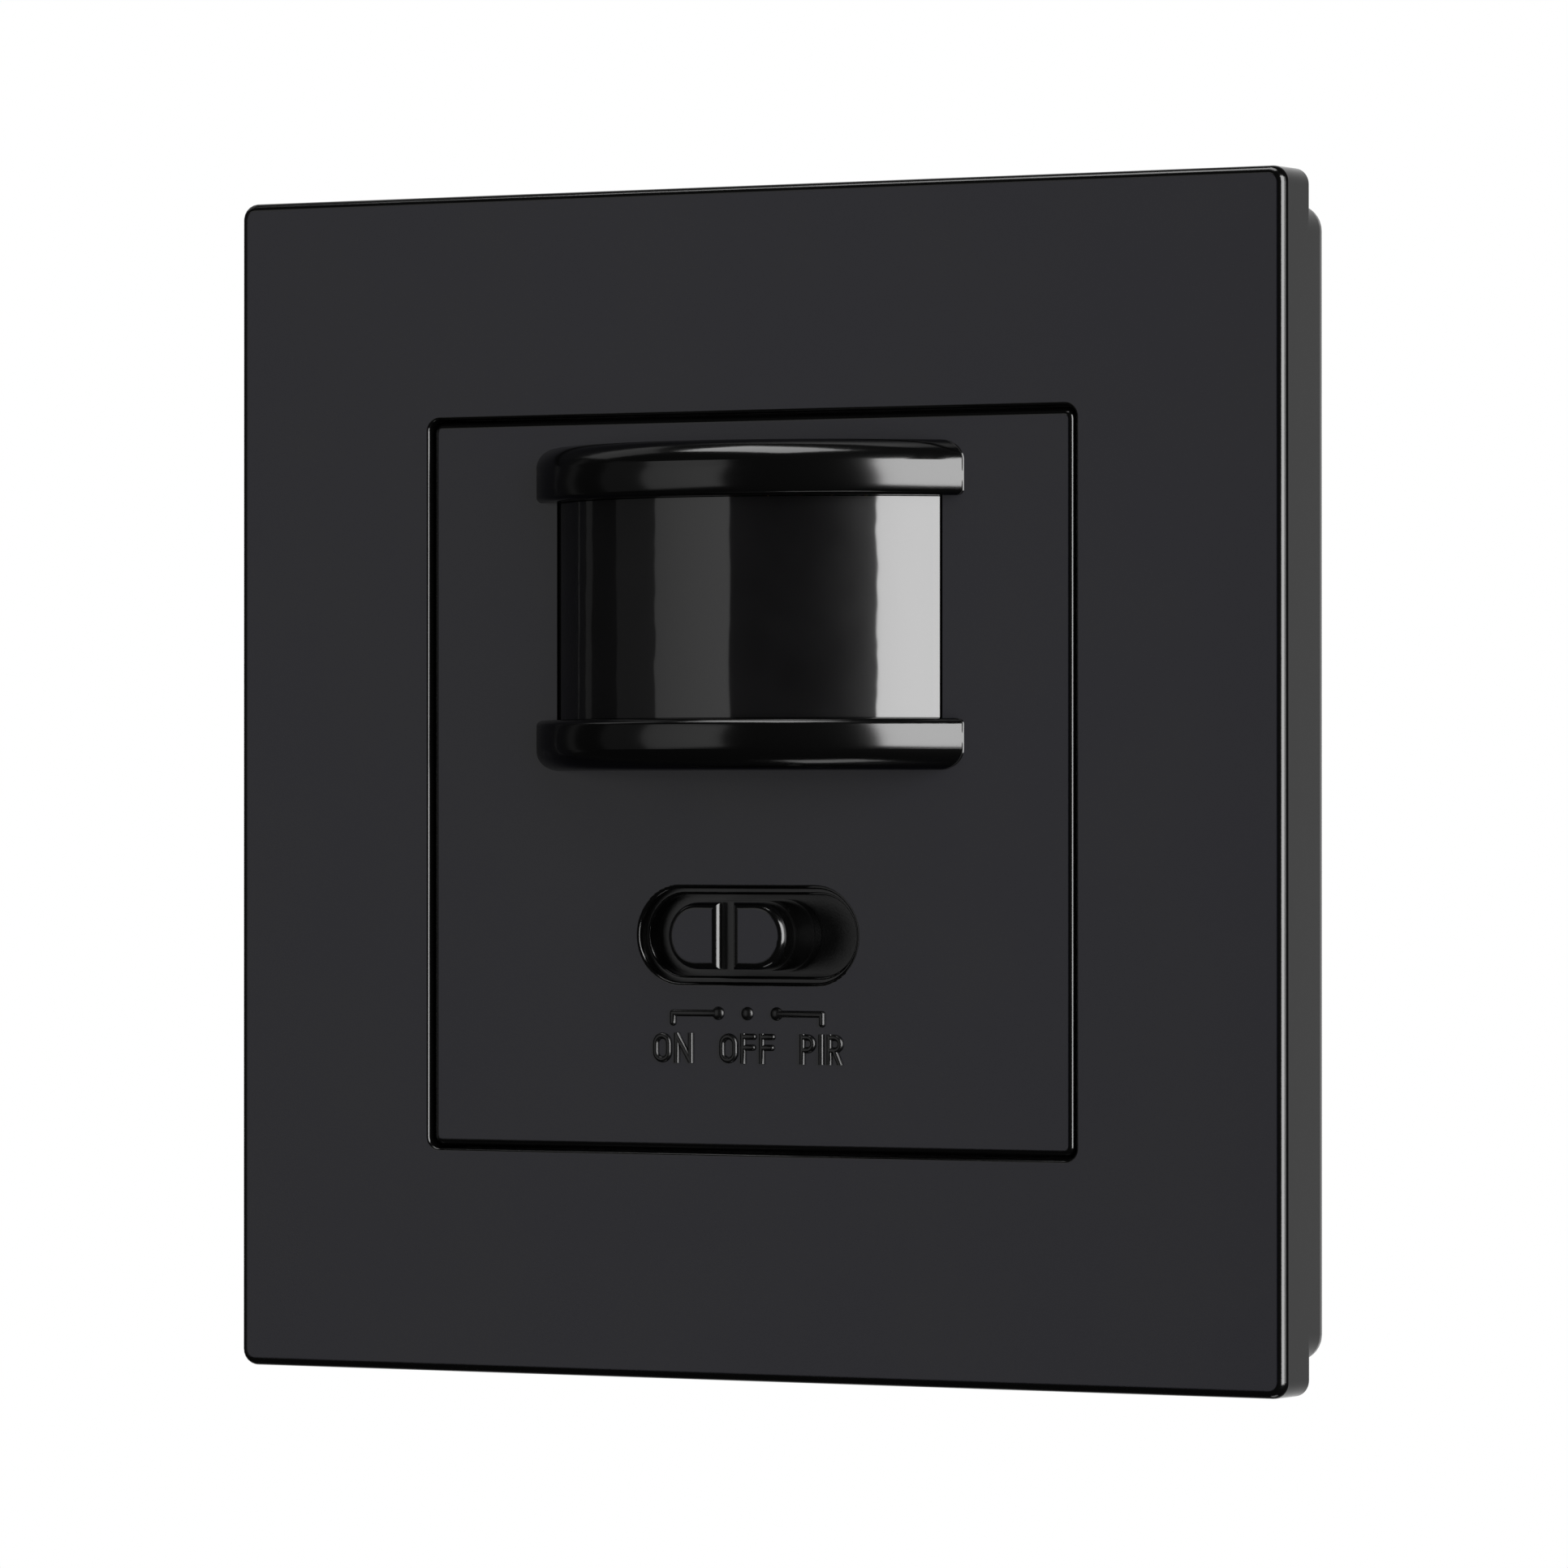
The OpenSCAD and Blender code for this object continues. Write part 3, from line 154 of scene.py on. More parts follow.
class FinishColours(bpy.types.PropertyGroup):
    """Colours of the finishes."""

    casing: colour("Casing", "Textured faces of frame, plate and knob", (0.0024, 0.0023, 0.0056))
    polish: colour("Polish", "Polished edges and sides of the casing", (0.0012, 0.0012, 0.0012))
    lens: colour("Lens", "Polished plastic of the lens", (0.0018, 0.0017, 0.0019))
    housing: colour("Housing", "Matt plastic of the rear housing", (0.016, 0.016, 0.017))
    board: colour("Board", "Solder mask of the boards", (0.010, 0.085, 0.035))
    copper: colour("Tracks", "Solder mask over the copper tracks", (0.020, 0.150, 0.060))
    terminal: colour("Terminal", "Case of the terminals", (0.03, 0.20, 0.08))
    brass: colour("Brass", "Clamps of the terminals", (0.72, 0.52, 0.22))
    zinc: colour("Zinc", "Plated cans and terminal screws", (0.62, 0.63, 0.65))
    steel: colour("Steel", "Small screws", (0.60, 0.61, 0.63))
    gold: colour("Gold", "Plated pins and the detector's base", (0.78, 0.58, 0.25))
    window: colour("Window", "Filter glass of the detector", (0.10, 0.09, 0.16))
    resin: colour("Resin", "Clear resin of the daylight sensor", (0.70, 0.68, 0.60))
    white: colour("White", "Actuator and rotors", (0.80, 0.79, 0.75))
    blue: colour("Blue", "Trimmers and varistor", (0.05, 0.13, 0.42))
    laminate: colour("Laminate", "Base of the slide switch", (0.055, 0.028, 0.012))
    epoxy: colour("Epoxy", "Chip, header and diodes", (0.02, 0.02, 0.02))
    relay: colour("Relay", "Case of the relay", (0.02, 0.07, 0.25))
    film: colour("Film", "Case of the film capacitor", (0.68, 0.45, 0.06))
    sleeve: colour("Sleeve", "Sleeve of the electrolytic capacitor", (0.02, 0.03, 0.09))
    fuse: colour("Fuse", "Case of the fuse", (0.30, 0.03, 0.02))


class StageSettings(bpy.types.PropertyGroup):
    """Camera, floor and lights."""

    camera_at: FloatVectorProperty(
        name="Camera", description="Place of the camera", default=(0.30434, -0.55129, -0.002565),
        size=3, subtype="TRANSLATION", unit="LENGTH", precision=5,
    )
    camera_turn: angle("Turn", "Turn of the camera to the left of the front view", 29.147)
    camera_tilt: angle("Tilt", "Tilt of the camera above the level", 0.232)
    camera_lens: FloatProperty(
        name="Lens", description="Focal length for a 36 mm sensor", default=211.73
    )
    floor_drop: length("Floor drop", "Distance of the floor below the switch", 400)
    floor_w: length("Floor width", "Width of the floor", 150)
    floor_lift: level("Floor lift", "Brightness added to the floor where it is seen", 0.65)
    room: level("Room", "Brightness of the room in front of the switch in reflections", 0.015)
    backdrop: level("Backdrop", "Brightness of the backdrop in reflections", 0.87)
    shade: level("Shade", "Brightness of the light from the front", 0.25)
    behind: level("Behind", "Brightness of the light from behind", 0.9)
    key: level("Key", "Brightness of the softbox on the right", 9.5)
    wing: level("Wing", "Brightness of the panel beside the softbox", 3.0)
    side: level("Side", "Brightness of the panel on the left", 0.61)
    fill: level("Fill", "Brightness of the dim panels at the far left", 0.06)
    left: level("Left", "Brightness of the panel above the left side", 0.35)
    top: level("Top", "Brightness of the panel overhead", 4.5)


# Finishes

# Where most values of a noise lie
NOISE_SPAN = (0.3, 0.7)
# How squarely a surface faces the front or the back, from the end of a round to a flat
FLAT_SPAN = (0.985, 0.9995)
# The step before a flat face in which its texture starts
TEXTURE_STEP = (-0.12 * MM, -0.06 * MM)
# The step past a texture's reach in which its colour gives way to the painted recess shade
RECESS_SHADE_STEP = 0.1 * MM
# Copper tracks: their pitch, the step at a track's side, the run after which a track turns back,
# and the part of that run that slants
TRACK_PITCH = 1.2 * MM
TRACK_SIDE = (0.16 * MM, 0.22 * MM)
TRACK_RUN = 9 * MM
TRACK_JOG = (3 * MM, 6 * MM)
# Cells of a board up to the first step have upright tracks, and past the second level ones
TRACK_CELL = 9 * MM
UPRIGHT_CELLS = (0.42, 0.43)
LEVEL_CELLS = (0.57, 0.58)


def graded(nodes, links, value, spans, interpolation="SMOOTHSTEP"):
    """A value's range from start to end, mapped to the range from low to high."""
    node = nodes.new("ShaderNodeMapRange")
    node.interpolation_type = interpolation
    for socket, number in zip(("From Min", "From Max", "To Min", "To Max"), spans):
        node.inputs[socket].default_value = number
    links.new(value, node.inputs["Value"])
    return node.outputs["Result"]


class Finish:
    """A node material that takes its patterns from Object coordinates."""

    def __init__(self, name, roughness=0.5, metallic=0.0, ior=1.5):
        self.material = bpy.data.materials.new(name)
        self.material.use_nodes = True
        tree = self.material.node_tree
        tree.nodes.clear()
        self.nodes, self.links = tree.nodes, tree.links
        self.shader = self.add("ShaderNodeBsdfPrincipled")
        output = self.add("ShaderNodeOutputMaterial")
        self.links.new(self.shader.outputs["BSDF"], output.inputs["Surface"])
        source = self.add("ShaderNodeTexCoord")
        self.coordinates, self.normal = source.outputs["Object"], source.outputs["Normal"]
        self.set("Roughness", roughness)
        self.set("Metallic", metallic)
        self.set("IOR", ior)

    def add(self, kind):
        return self.nodes.new(kind)

    def set(self, socket, value):
        self.shader.inputs[socket].default_value = value

    def stretched(self, scale):
        """Object coordinates scaled along each axis."""
        node = self.add("ShaderNodeMapping")
        node.inputs["Scale"].default_value = scale
        self.links.new(self.coordinates, node.inputs["Vector"])
        return node.outputs["Vector"]

    def axis(self, name, vector=None):
        """One axis of the Object coordinates or of another vector."""
        node = self.add("ShaderNodeSeparateXYZ")
        self.links.new(vector or self.coordinates, node.inputs["Vector"])
        return node.outputs[name]

    def noise(self, grain, detail=2.0, vector=None):
        """Noise whose grain has about this size in metres."""
        node = self.add("ShaderNodeTexNoise")
        node.inputs["Scale"].default_value = 1 / grain
        node.inputs["Detail"].default_value = detail
        self.links.new(vector or self.coordinates, node.inputs["Vector"])
        return node.outputs["Fac"]

    def cells(self, size):
        """A random value in each square-sided cell of an upright board."""
        node = self.add("ShaderNodeTexVoronoi")
        node.distance = "CHEBYCHEV"
        node.inputs["Scale"].default_value = 1 / size
        self.links.new(self.stretched((1.0, 0.0, 1.0)), node.inputs["Vector"])
        parts = self.add("ShaderNodeSeparateColor")
        self.links.new(node.outputs["Color"], parts.inputs["Color"])
        return parts.outputs["Red"]

    def tracks(self, along, across):
        """Copper tracks side by side along one axis, with slanted jogs."""
        start, end = TRACK_JOG
        run = self.number("PINGPONG", self.axis(along), TRACK_RUN)
        jog = self.number("MINIMUM", self.number("MAXIMUM", run, start), end)
        lane = self.combined("ADD", self.axis(across), jog)
        return self.mapped(self.number("PINGPONG", lane, TRACK_PITCH / 2), *TRACK_SIDE, 1.0, 0.0)

    def mapped(self, value, *spans):
        """The value's range from start to end, mapped smoothly from low to high."""
        return graded(self.nodes, self.links, value, spans)

    def clouded(self, noise, low, high):
        """A noise, mapped smoothly from low to high."""
        return self.mapped(noise, *NOISE_SPAN, low, high)

    def combined(self, operation, first, second):
        """Two values joined by a sum, product or the like."""
        node = self.add("ShaderNodeMath")
        node.operation = operation
        self.links.new(first, node.inputs[0])
        self.links.new(second, node.inputs[1])
        return node.outputs["Value"]

    def product(self, first, second):
        return self.combined("MULTIPLY", first, second)

    def number(self, operation, value, constant=0.0):
        """A value changed by a fixed number."""
        node = self.add("ShaderNodeMath")
        node.operation = operation
        self.links.new(value, node.inputs[0])
        node.inputs[1].default_value = constant
        return node.outputs["Value"]

    def colours(self, value, dark, light, start=0.35, end=0.65):
        """The base colour, from dark to light as the value rises."""
        ramp = self.add("ShaderNodeValToRGB")
        ramp.color_ramp.elements[0].position = start
        ramp.color_ramp.elements[1].position = end
        ramp.color_ramp.elements[0].color = (*dark, 1.0)
        ramp.color_ramp.elements[1].color = (*light, 1.0)
        self.links.new(value, ramp.inputs["Fac"])
        self.links.new(ramp.outputs["Color"], self.shader.inputs["Base Color"])

    def roughness(self, value):
        self.links.new(value, self.shader.inputs["Roughness"])

    def bumps(self, *layers):
        """Bump from (height, depth in metres) layers; a negative depth sinks."""
        normal = None
        for height, depth in layers:
            node = self.add("ShaderNodeBump")
            node.invert = depth < 0
            node.inputs["Distance"].default_value = abs(depth)
            self.links.new(height, node.inputs["Height"])
            if normal:
                self.links.new(normal, node.inputs["Normal"])
            normal = node.outputs["Normal"]
        self.links.new(normal, self.shader.inputs["Normal"])
        return normal


def shade(base, factor):
    """A colour made darker or lighter."""
    return tuple(c * factor for c in base)


def casing_plastic(name, base, polish, face, reach=0.5 * MM, crown=None):
    """Polished black moulding, with a fine texture on flat faces at a face's depth and behind it.

    The flat faces up to a reach behind that depth have the base colour, and the rest the polish's;
    on flat faces past the reach, such as the floor of the knob's recess, the darker polish colour
    is painted shade.
    A crown is what rail_crown needs for two rails in front of the face, with the bulge's radius.
    """
    finish = Finish(name, ior=1.53)
    cloud = finish.noise(9 * MM, 3)
    grain = finish.noise(0.12 * MM, 2)
    depth = finish.axis("Y")
    step = [face + part for part in TEXTURE_STEP]
    behind = finish.mapped(depth, *step, 0.0, 1.0)
    # Painted shade: flat faces past the reach behind the face, as on the recess floor, take the
    # darker polish colour
    near = finish.mapped(depth, face + reach, face + reach + RECESS_SHADE_STEP, 1.0, 0.0)
    squarely = finish.number("ABSOLUTE", finish.axis("Y", finish.normal))
    textured = finish.product(finish.mapped(squarely, *FLAT_SPAN, 0.0, 1.0), behind)
    shown = finish.product(near, finish.clouded(cloud, 0.8, 1.0))
    finish.colours(finish.product(textured, shown), polish, base, 0.0, 1.0)
    polished, rough = 0.13, 0.30
    worn = finish.clouded(cloud, 0.01, 0.03)
    finish.roughness(
        finish.combined("ADD", finish.mapped(textured, 0.0, 1.0, polished, rough), worn)
    )
    layers = [
        (finish.product(grain, textured), 0.006 * MM),
        (finish.noise(3 * MM, 2), 0.003 * MM),
    ]
    if crown:
        *rails, radius = crown
        before = finish.mapped(depth, *step, 1.0, 0.0)
        layers.append((finish.product(rail_crown(finish, *rails), before), -1 / radius))
    finish.bumps(*layers)
    return finish.material


def rail_crown(finish, middle, apex, bend):
    """Fall of two rails' fronts from an apex on each side of a middle, for a bulge of radius 1.

    It follows a curve up to the bend and a straight slope past it.
    """
    away = finish.number("ABSOLUTE", finish.number("SUBTRACT", finish.axis("Z"), middle))
    lift = finish.number("SUBTRACT", away, apex)
    curved = finish.number("MINIMUM", lift, bend)
    slope = finish.combined("SUBTRACT", lift, finish.number("MULTIPLY", curved, 0.5))
    return finish.product(curved, slope)


def polished_plastic(name, base):
    """Polished black moulding."""
    finish = Finish(name, ior=1.48)
    cloud = finish.noise(5 * MM, 3)
    finish.colours(cloud, shade(base, 0.9), shade(base, 1.1))
    finish.roughness(finish.clouded(cloud, 0.26, 0.32))
    finish.bumps((finish.noise(1.5 * MM, 2), 0.003 * MM))
    return finish.material


def polished_lens(name, base):
    """Black lens plastic: a gloss skin with faint waves, over a haze from the plastic below it."""
    finish = Finish(name, ior=1.22)
    for socket, value in (("Coat Weight", 1.0), ("Coat IOR", 1.58), ("Coat Roughness", 0.06)):
        finish.set(socket, value)
    cloud = finish.noise(6 * MM, 2)
    finish.colours(cloud, shade(base, 0.85), shade(base, 1.15))
    finish.roughness(finish.clouded(cloud, 0.33, 0.38))
    waves = (finish.noise(7 * MM, 1), 0.05 * MM), (finish.noise(2.2 * MM, 1), 0.012 * MM)
    finish.links.new(finish.bumps(*waves), finish.shader.inputs["Coat Normal"])
    return finish.material


def moulded_plastic(name, base, low=0.35, high=0.5, grain=0.2 * MM):
    """Plain moulded plastic with a light grain."""
    finish = Finish(name)
    cloud = finish.noise(4 * MM, 3)
    finish.colours(cloud, shade(base, 0.95), shade(base, 1.04))
    finish.roughness(finish.clouded(cloud, low, high))
    finish.bumps((finish.noise(grain, 2), 0.008 * MM))
    return finish.material


def plated_metal(name, base, low=0.22, high=0.4):
    """Plated or bare metal with drawn streaks."""
    finish = Finish(name, metallic=1.0)
    streaks = finish.noise(0.5 * MM, 3, finish.stretched((1.0, 1.0, 0.12)))
    finish.colours(streaks, shade(base, 0.82), base)
    finish.roughness(finish.clouded(streaks, low, high))
    finish.bumps((streaks, 0.001 * MM))
    return finish.material


def solder_mask(name, mask, track):
    """Glossy mask over a board, a little paler over its copper tracks."""
    finish = Finish(name)
    group = finish.cells(TRACK_CELL)
    standing = finish.mapped(group, *UPRIGHT_CELLS, 1.0, 0.0)
    lying = finish.mapped(group, *LEVEL_CELLS, 0.0, 1.0)
    upright = finish.product(finish.tracks("Z", "X"), standing)
    sideways = finish.product(finish.tracks("X", "Z"), lying)
    copper = finish.combined("ADD", upright, sideways)
    finish.colours(copper, mask, track)
    finish.roughness(finish.clouded(finish.noise(3 * MM, 2), 0.18, 0.3))
    finish.bumps((copper, 0.03 * MM), (finish.noise(0.3 * MM, 2), 0.006 * MM))
    return finish.material


def clear_resin(name, base):
    """Cast resin that light enters."""
    finish = Finish(name, ior=1.52)
    finish.set("Transmission Weight", 0.6)
    cloud = finish.noise(1.5 * MM, 2)
    finish.colours(cloud, shade(base, 0.9), base)
    finish.roughness(finish.clouded(cloud, 0.06, 0.14))
    finish.bumps((cloud, 0.004 * MM))
    return finish.material


def wear(material, *nodes):
    """Gives frame nodes a finish."""
    for name in nodes:
        frame["nodes"][name].material_slots[0].material = material


# Shapes


def arc(middle, radius, start, end, steps=12):
    """Points on an arc, with its angles in degrees."""
    turns = [math.radians(start + (end - start) * i / steps) for i in range(steps + 1)]
    return [(middle[0] + radius * math.cos(a), middle[1] + radius * math.sin(a)) for a in turns]


def stadium(left, bottom, right, top):
    """Upright oval with straight sides."""
    r = (right - left) / 2
    x = (left + right) / 2
    return arc((x, top - r), r, 0, 180) + arc((x, bottom + r), r, 180, 360)


def bowl(left, bottom, right, top):
    """Open loop that is round on its right side."""
    r = (top - bottom) / 2
    return [(left, bottom)] + arc((right - r, bottom + r), r, -90, 90) + [(left, top)]


def stem(x, h):
    return [(x, 0), (x, h)]


# The letters' strokes: w and h are a letter's width and height, t is half a stroke, and a closed
# path ends where it starts. The shares are of w or h.

BAR_TOP, BAR_END = 0.64, 0.95
BOWL_BOTTOM = 0.37
LEG_START = 0.45


def letter_o(w, h, t):
    oval = stadium(t, t, w - t, h - t)
    return [oval + oval[:1]]


def letter_n(w, h, t):
    return [stem(t, h), stem(w - t, h), [(t, h - t / 2), (w - t, t / 2)]]


def letter_f(w, h, t):
    bar = BAR_TOP * h - t
    return [stem(t, h), [(t, h - t), (w - t, h - t)], [(t, bar), (BAR_END * w - t, bar)]]


def letter_p(w, h, t):
    return [stem(t, h), bowl(t, BOWL_BOTTOM * h + t, w - t, h - t)]


def letter_i(w, h, t):
    return [stem(t, h)]


def letter_r(w, h, t):
    leg = [(LEG_START * w, BOWL_BOTTOM * h + t), (w - 0.9 * t, -t)]
    return letter_p(w - t / 4, h, t) + [leg]


# Each letter with its width as a share of the letter O's
LETTERS = {
    "O": (letter_o, 1.0), "N": (letter_n, 1.05), "F": (letter_f, 0.87),
    "P": (letter_p, 0.87), "I": (letter_i, 0.30), "R": (letter_r, 0.93),
}


def word_strokes(word, x, top, sizes):
    """Strokes of a word that is centred on x and hangs from top."""
    h, gap = sizes.letter_h, sizes.letter_gap
    widths = [sizes.letter_w * LETTERS[c][1] for c in word]
    start = x - (sum(widths) + gap * (len(word) - 1)) / 2
    strokes = []
    for c, width in zip(word, widths):
        for stroke in LETTERS[c][0](width, h, sizes.stroke / 2):
            strokes.append([(start + px, top - h + py) for px, py in stroke])
        start += width + gap
    return strokes


def bracket_strokes(side, sizes):
    """A line from a dot to the outer side, with a foot that turns down to a word."""
    end = sizes.reach - sizes.line_w / 2
    return [
        [(side * SLIDE_TRAVEL, 0.0), (side * end, 0.0)],
        [(side * end, 0.0), (side * end, sizes.line_w / 2 - sizes.foot)],
    ]


def stroke_curve(name, strokes):
    """Curve object of straight-sided paths; one that ends where it starts is closed."""
    curve = bpy.data.curves.new(name, "CURVE")
    curve.dimensions = "3D"
    for stroke in strokes:
        closed = len(stroke) > 2 and stroke[0] == stroke[-1]
        points = stroke[:-1] if closed else stroke
        spline = curve.splines.new("POLY")
        spline.points.add(len(points) - 1)
        spline.use_cyclic_u = closed
        for point, (x, y) in zip(spline.points, points):
            point.co = (x, y, 0.0, 1.0)
    made = bpy.data.objects.new(name, curve)
    bpy.context.scene.collection.objects.link(made)
    return made


class Tree:
    """A Geometry Nodes tree under construction."""

    def __init__(self, name, **inputs):
        self.group = bpy.data.node_groups.new(name, "GeometryNodeTree")
        sockets = self.group.interface
        sockets.new_socket("Geometry", in_out="INPUT", socket_type="NodeSocketGeometry")
        self.sockets = {
            label: sockets.new_socket(label, in_out="INPUT", socket_type=f"NodeSocket{kind}")
            for label, kind in inputs.items()
        }
        sockets.new_socket("Geometry", in_out="OUTPUT", socket_type="NodeSocketGeometry")
        self.start = self.group.nodes.new("NodeGroupInput")
        self.end = self.group.nodes.new("NodeGroupOutput")

    def add(self, kind, links=None, values=None, **settings):
        """A node with its settings, the sockets that feed it and its fixed values."""
        node = self.group.nodes.new(f"GeometryNode{kind}")
        for name, value in settings.items():
            setattr(node, name, value)
        for socket, source in (links or {}).items():
            self.group.links.new(source, node.inputs[socket])
        for socket, value in (values or {}).items():
            node.inputs[socket].default_value = value
        return node

    def value(self, label):
        return self.start.outputs[label]

    def block(self, size):
        return self.add("MeshCube", {"Size": self.value(size)}).outputs["Mesh"]

    def ball(self, segments, rings, radius):
        values = {"Segments": segments, "Rings": rings, "Radius": radius}
        return self.add("MeshUVSphere", values=values).outputs["Mesh"]

    def moved(self, mesh, label, how="Translation"):
        """A mesh moved, or changed otherwise, by one of the tree's inputs."""
        node = self.add("Transform", {"Geometry": mesh, how: self.value(label)})
        return node.outputs["Geometry"]

    def swept(self, path, corners, radius, width):
        """A closed rod along a path, as wide as one of the tree's inputs says."""
        ring = self.add("CurvePrimitiveCircle", values={"Resolution": corners, "Radius": radius})
        links = {"Curve": path, "Profile Curve": ring.outputs["Curve"], "Scale": self.value(width)}
        return self.add("CurveToMesh", links, {"Fill Caps": True}).outputs["Mesh"]

    def joined(self, *parts):
        node = self.add("JoinGeometry")
        for part in parts:
            self.group.links.new(part, node.inputs["Geometry"])
        return node.outputs["Geometry"]

    def real(self, geometry):
        return self.add("RealizeInstances", {"Geometry": geometry}).outputs["Geometry"]

    def boolean(self, operation, *parts):
        """Union or intersection of meshes, which may cross themselves."""
        node = self.add("MeshBoolean", operation=operation, solver="EXACT")
        for part in parts:
            self.group.links.new(part, node.inputs["Mesh"])
        node.inputs["Self Intersection"].default_value = True
        return node.outputs["Mesh"]

    def cut(self, mesh, *tools):
        """A mesh less others."""
        node = self.add("MeshBoolean", {"Mesh 1": mesh}, operation="DIFFERENCE", solver="EXACT")
        for tool in tools:
            self.group.links.new(tool, node.inputs["Mesh 2"])
        return node.outputs["Mesh"]

    def finish(self, geometry):
        """Ends the tree with real geometry and its material."""
        links = {"Geometry": self.real(geometry), "Material": self.value("Material")}
        dressed = self.add("SetMaterial", links)
        self.group.links.new(dressed.outputs["Geometry"], self.end.inputs["Geometry"])

    def applied(self, made, **values):
        """The plain mesh that the tree makes from an object, which is then removed."""
        modifier = made.modifiers.new(self.group.name, "NODES")
        modifier.node_group = self.group
        for label, value in values.items():
            modifier[self.sockets[label].identifier] = value
        return plain_mesh(made)


def bead_tree():
    """Beads with a round end along paths, and a row of dots, as one skin that is cut to a box."""
    tree = Tree(
        "bead", Width="Float", Dots="Int", First="Vector", Pitch="Vector", Dot="Vector",
        Box="Vector", Middle="Vector", Material="Material",
    )
    paths = tree.value("Geometry")
    beads = tree.swept(paths, 20, 0.5, "Width")
    row = tree.add("MeshLine", {
        "Count": tree.value("Dots"), "Start Location": tree.value("First"),
        "Offset": tree.value("Pitch"),
    })
    ball = tree.ball(28, 14, 0.5)
    dots = tree.add("InstanceOnPoints", {
        "Points": row.outputs["Mesh"], "Instance": ball, "Scale": tree.value("Dot"),
    })
    tips = tree.add("CurveEndpointSelection", values={"Start Size": 0})
    ends = tree.add("InstanceOnPoints", {
        "Points": paths, "Selection": tips.outputs["Selection"], "Instance": ball,
        "Scale": tree.value("Width"),
    })
    balls = tree.real(tree.joined(dots.outputs["Instances"], ends.outputs["Instances"]))
    skin = tree.boolean("UNION", tree.joined(beads, balls))
    tree.finish(tree.boolean("INTERSECT", skin, tree.moved(tree.block("Box"), "Middle")))
    return tree


def screw_tree():
    """Pan head screws with a cross recess and a thread, on points, each at a turn of its own."""
    tree = Tree(
        "screw", Head="Vector", Below="Vector", Room="Vector", Cross="Vector", Across="Vector",
        Top="Vector", Core="Float", Length="Float", Sunk="Vector", Turns="Float", Thread="Float",
        Tip="Vector", Seed="Int", Material="Material",
    )
    core, long = tree.value("Core"), tree.value("Length")
    dome = tree.moved(tree.ball(40, 24, 1.0), "Head", "Scale")
    under = tree.moved(tree.block("Room"), "Below")
    cross = [tree.moved(tree.block(bar), "Top") for bar in ("Cross", "Across")]
    head = tree.cut(dome, under, *cross)
    rod = tree.add("MeshCylinder", {"Radius": core, "Depth": long}, {"Vertices": 24})
    shank = tree.moved(rod.outputs["Mesh"], "Sunk")
    turns = {"Rotations": tree.value("Turns"), "Height": long}
    path = tree.add(
        "CurveSpiral", {**turns, "Start Radius": core, "End Radius": core}, {"Resolution": 24}
    )
    thread = tree.moved(tree.swept(path.outputs["Curve"], 6, 1.0, "Thread"), "Tip")
    whole = tree.joined(head, shank, thread)
    turn = tree.group.nodes.new("FunctionNodeRandomValue")
    turn.data_type = "FLOAT_VECTOR"
    turn.inputs["Min"].default_value = (0.0, 0.0, 0.0)
    turn.inputs["Max"].default_value = (0.0, 0.0, math.tau)
    tree.group.links.new(tree.value("Seed"), turn.inputs["Seed"])
    screws = tree.add("InstanceOnPoints", {
        "Points": tree.value("Geometry"), "Instance": whole, "Rotation": turn.outputs["Value"],
    })
    tree.finish(screws.outputs["Instances"])
    return tree


# Edges sharper than this stay creases
CREASE = math.radians(40)


def softened(mesh):
    """Smooth shading with sharp creases."""
    mesh.shade_smooth()
    mesh.set_sharp_from_angle(angle=CREASE)
    return mesh


def plain_mesh(made):
    """The evaluated mesh of an object, which is then removed."""
    evaluated = made.evaluated_get(bpy.context.evaluated_depsgraph_get())
    mesh = bpy.data.meshes.new_from_object(evaluated)
    mesh.validate()
    bpy.data.objects.remove(made)
    return mesh


def piece(name, mesh, material, body):
    """A finished piece that rides on a body."""
    made = bpy.data.objects.new(name, mesh)
    bpy.context.scene.collection.objects.link(made)
    mesh.materials.clear()
    mesh.materials.append(material)
    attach(made, body)
    return made


def head_middles(node, reach):
    """Middles of the screw heads at the front of a frame node, in x and z."""
    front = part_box(node)[0].y
    flush = 0.01 * MM
    groups = []
    for vertex in frame["nodes"][node].data.vertices:
        if vertex.co.y - front < flush:
            near = next((g for g in groups if (g[0] - vertex.co).length < reach), None)
            if near:
                near.append(vertex.co.copy())
            else:
                groups.append([vertex.co.copy()])
    spans = [[(min(v[i] for v in g), max(v[i] for v in g)) for i in (0, 2)] for g in groups]
    return [(sum(x) / 2, sum(z) / 2) for x, z in spans]


# Operators


class SENSORSWITCH_OT_casing(bpy.types.Operator):
    """Finish the frame, the plate, the knob and the base"""

    bl_idname = "sensorswitch.casing"
    bl_label = "Finish casing"

    def execute(self, context):
        colours = context.scene.sensor_switch_colours
        sizes = context.scene.sensor_switch_casing
        plate_front = FRAME_FRONT + sizes.plate_recess
        knob_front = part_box("slide_knob")[0].y
        bottom, top = (corner.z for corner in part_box("pir_lens"))
        apex = (top - bottom) / 2 + sizes.rail_apex
        rails = ((bottom + top) / 2, apex, sizes.rail_bend, sizes.rail_bulge)
        casing, polish = colours.casing, colours.polish
        whole_depth = 100 * MM
        base = casing_plastic("base_plastic", colours.housing, polish, FRAME_FRONT, whole_depth)
        plate = casing_plastic("plate_plastic", casing, polish, plate_front, crown=rails)
        wear(casing_plastic("frame_plastic", casing, polish, FRAME_FRONT), "cover_frame")
        wear(base, "mounting_base")
        wear(plate, "centre_plate")
        wear(casing_plastic("knob_plastic", casing, polish, knob_front), "slide_knob")
        return {"FINISHED"}


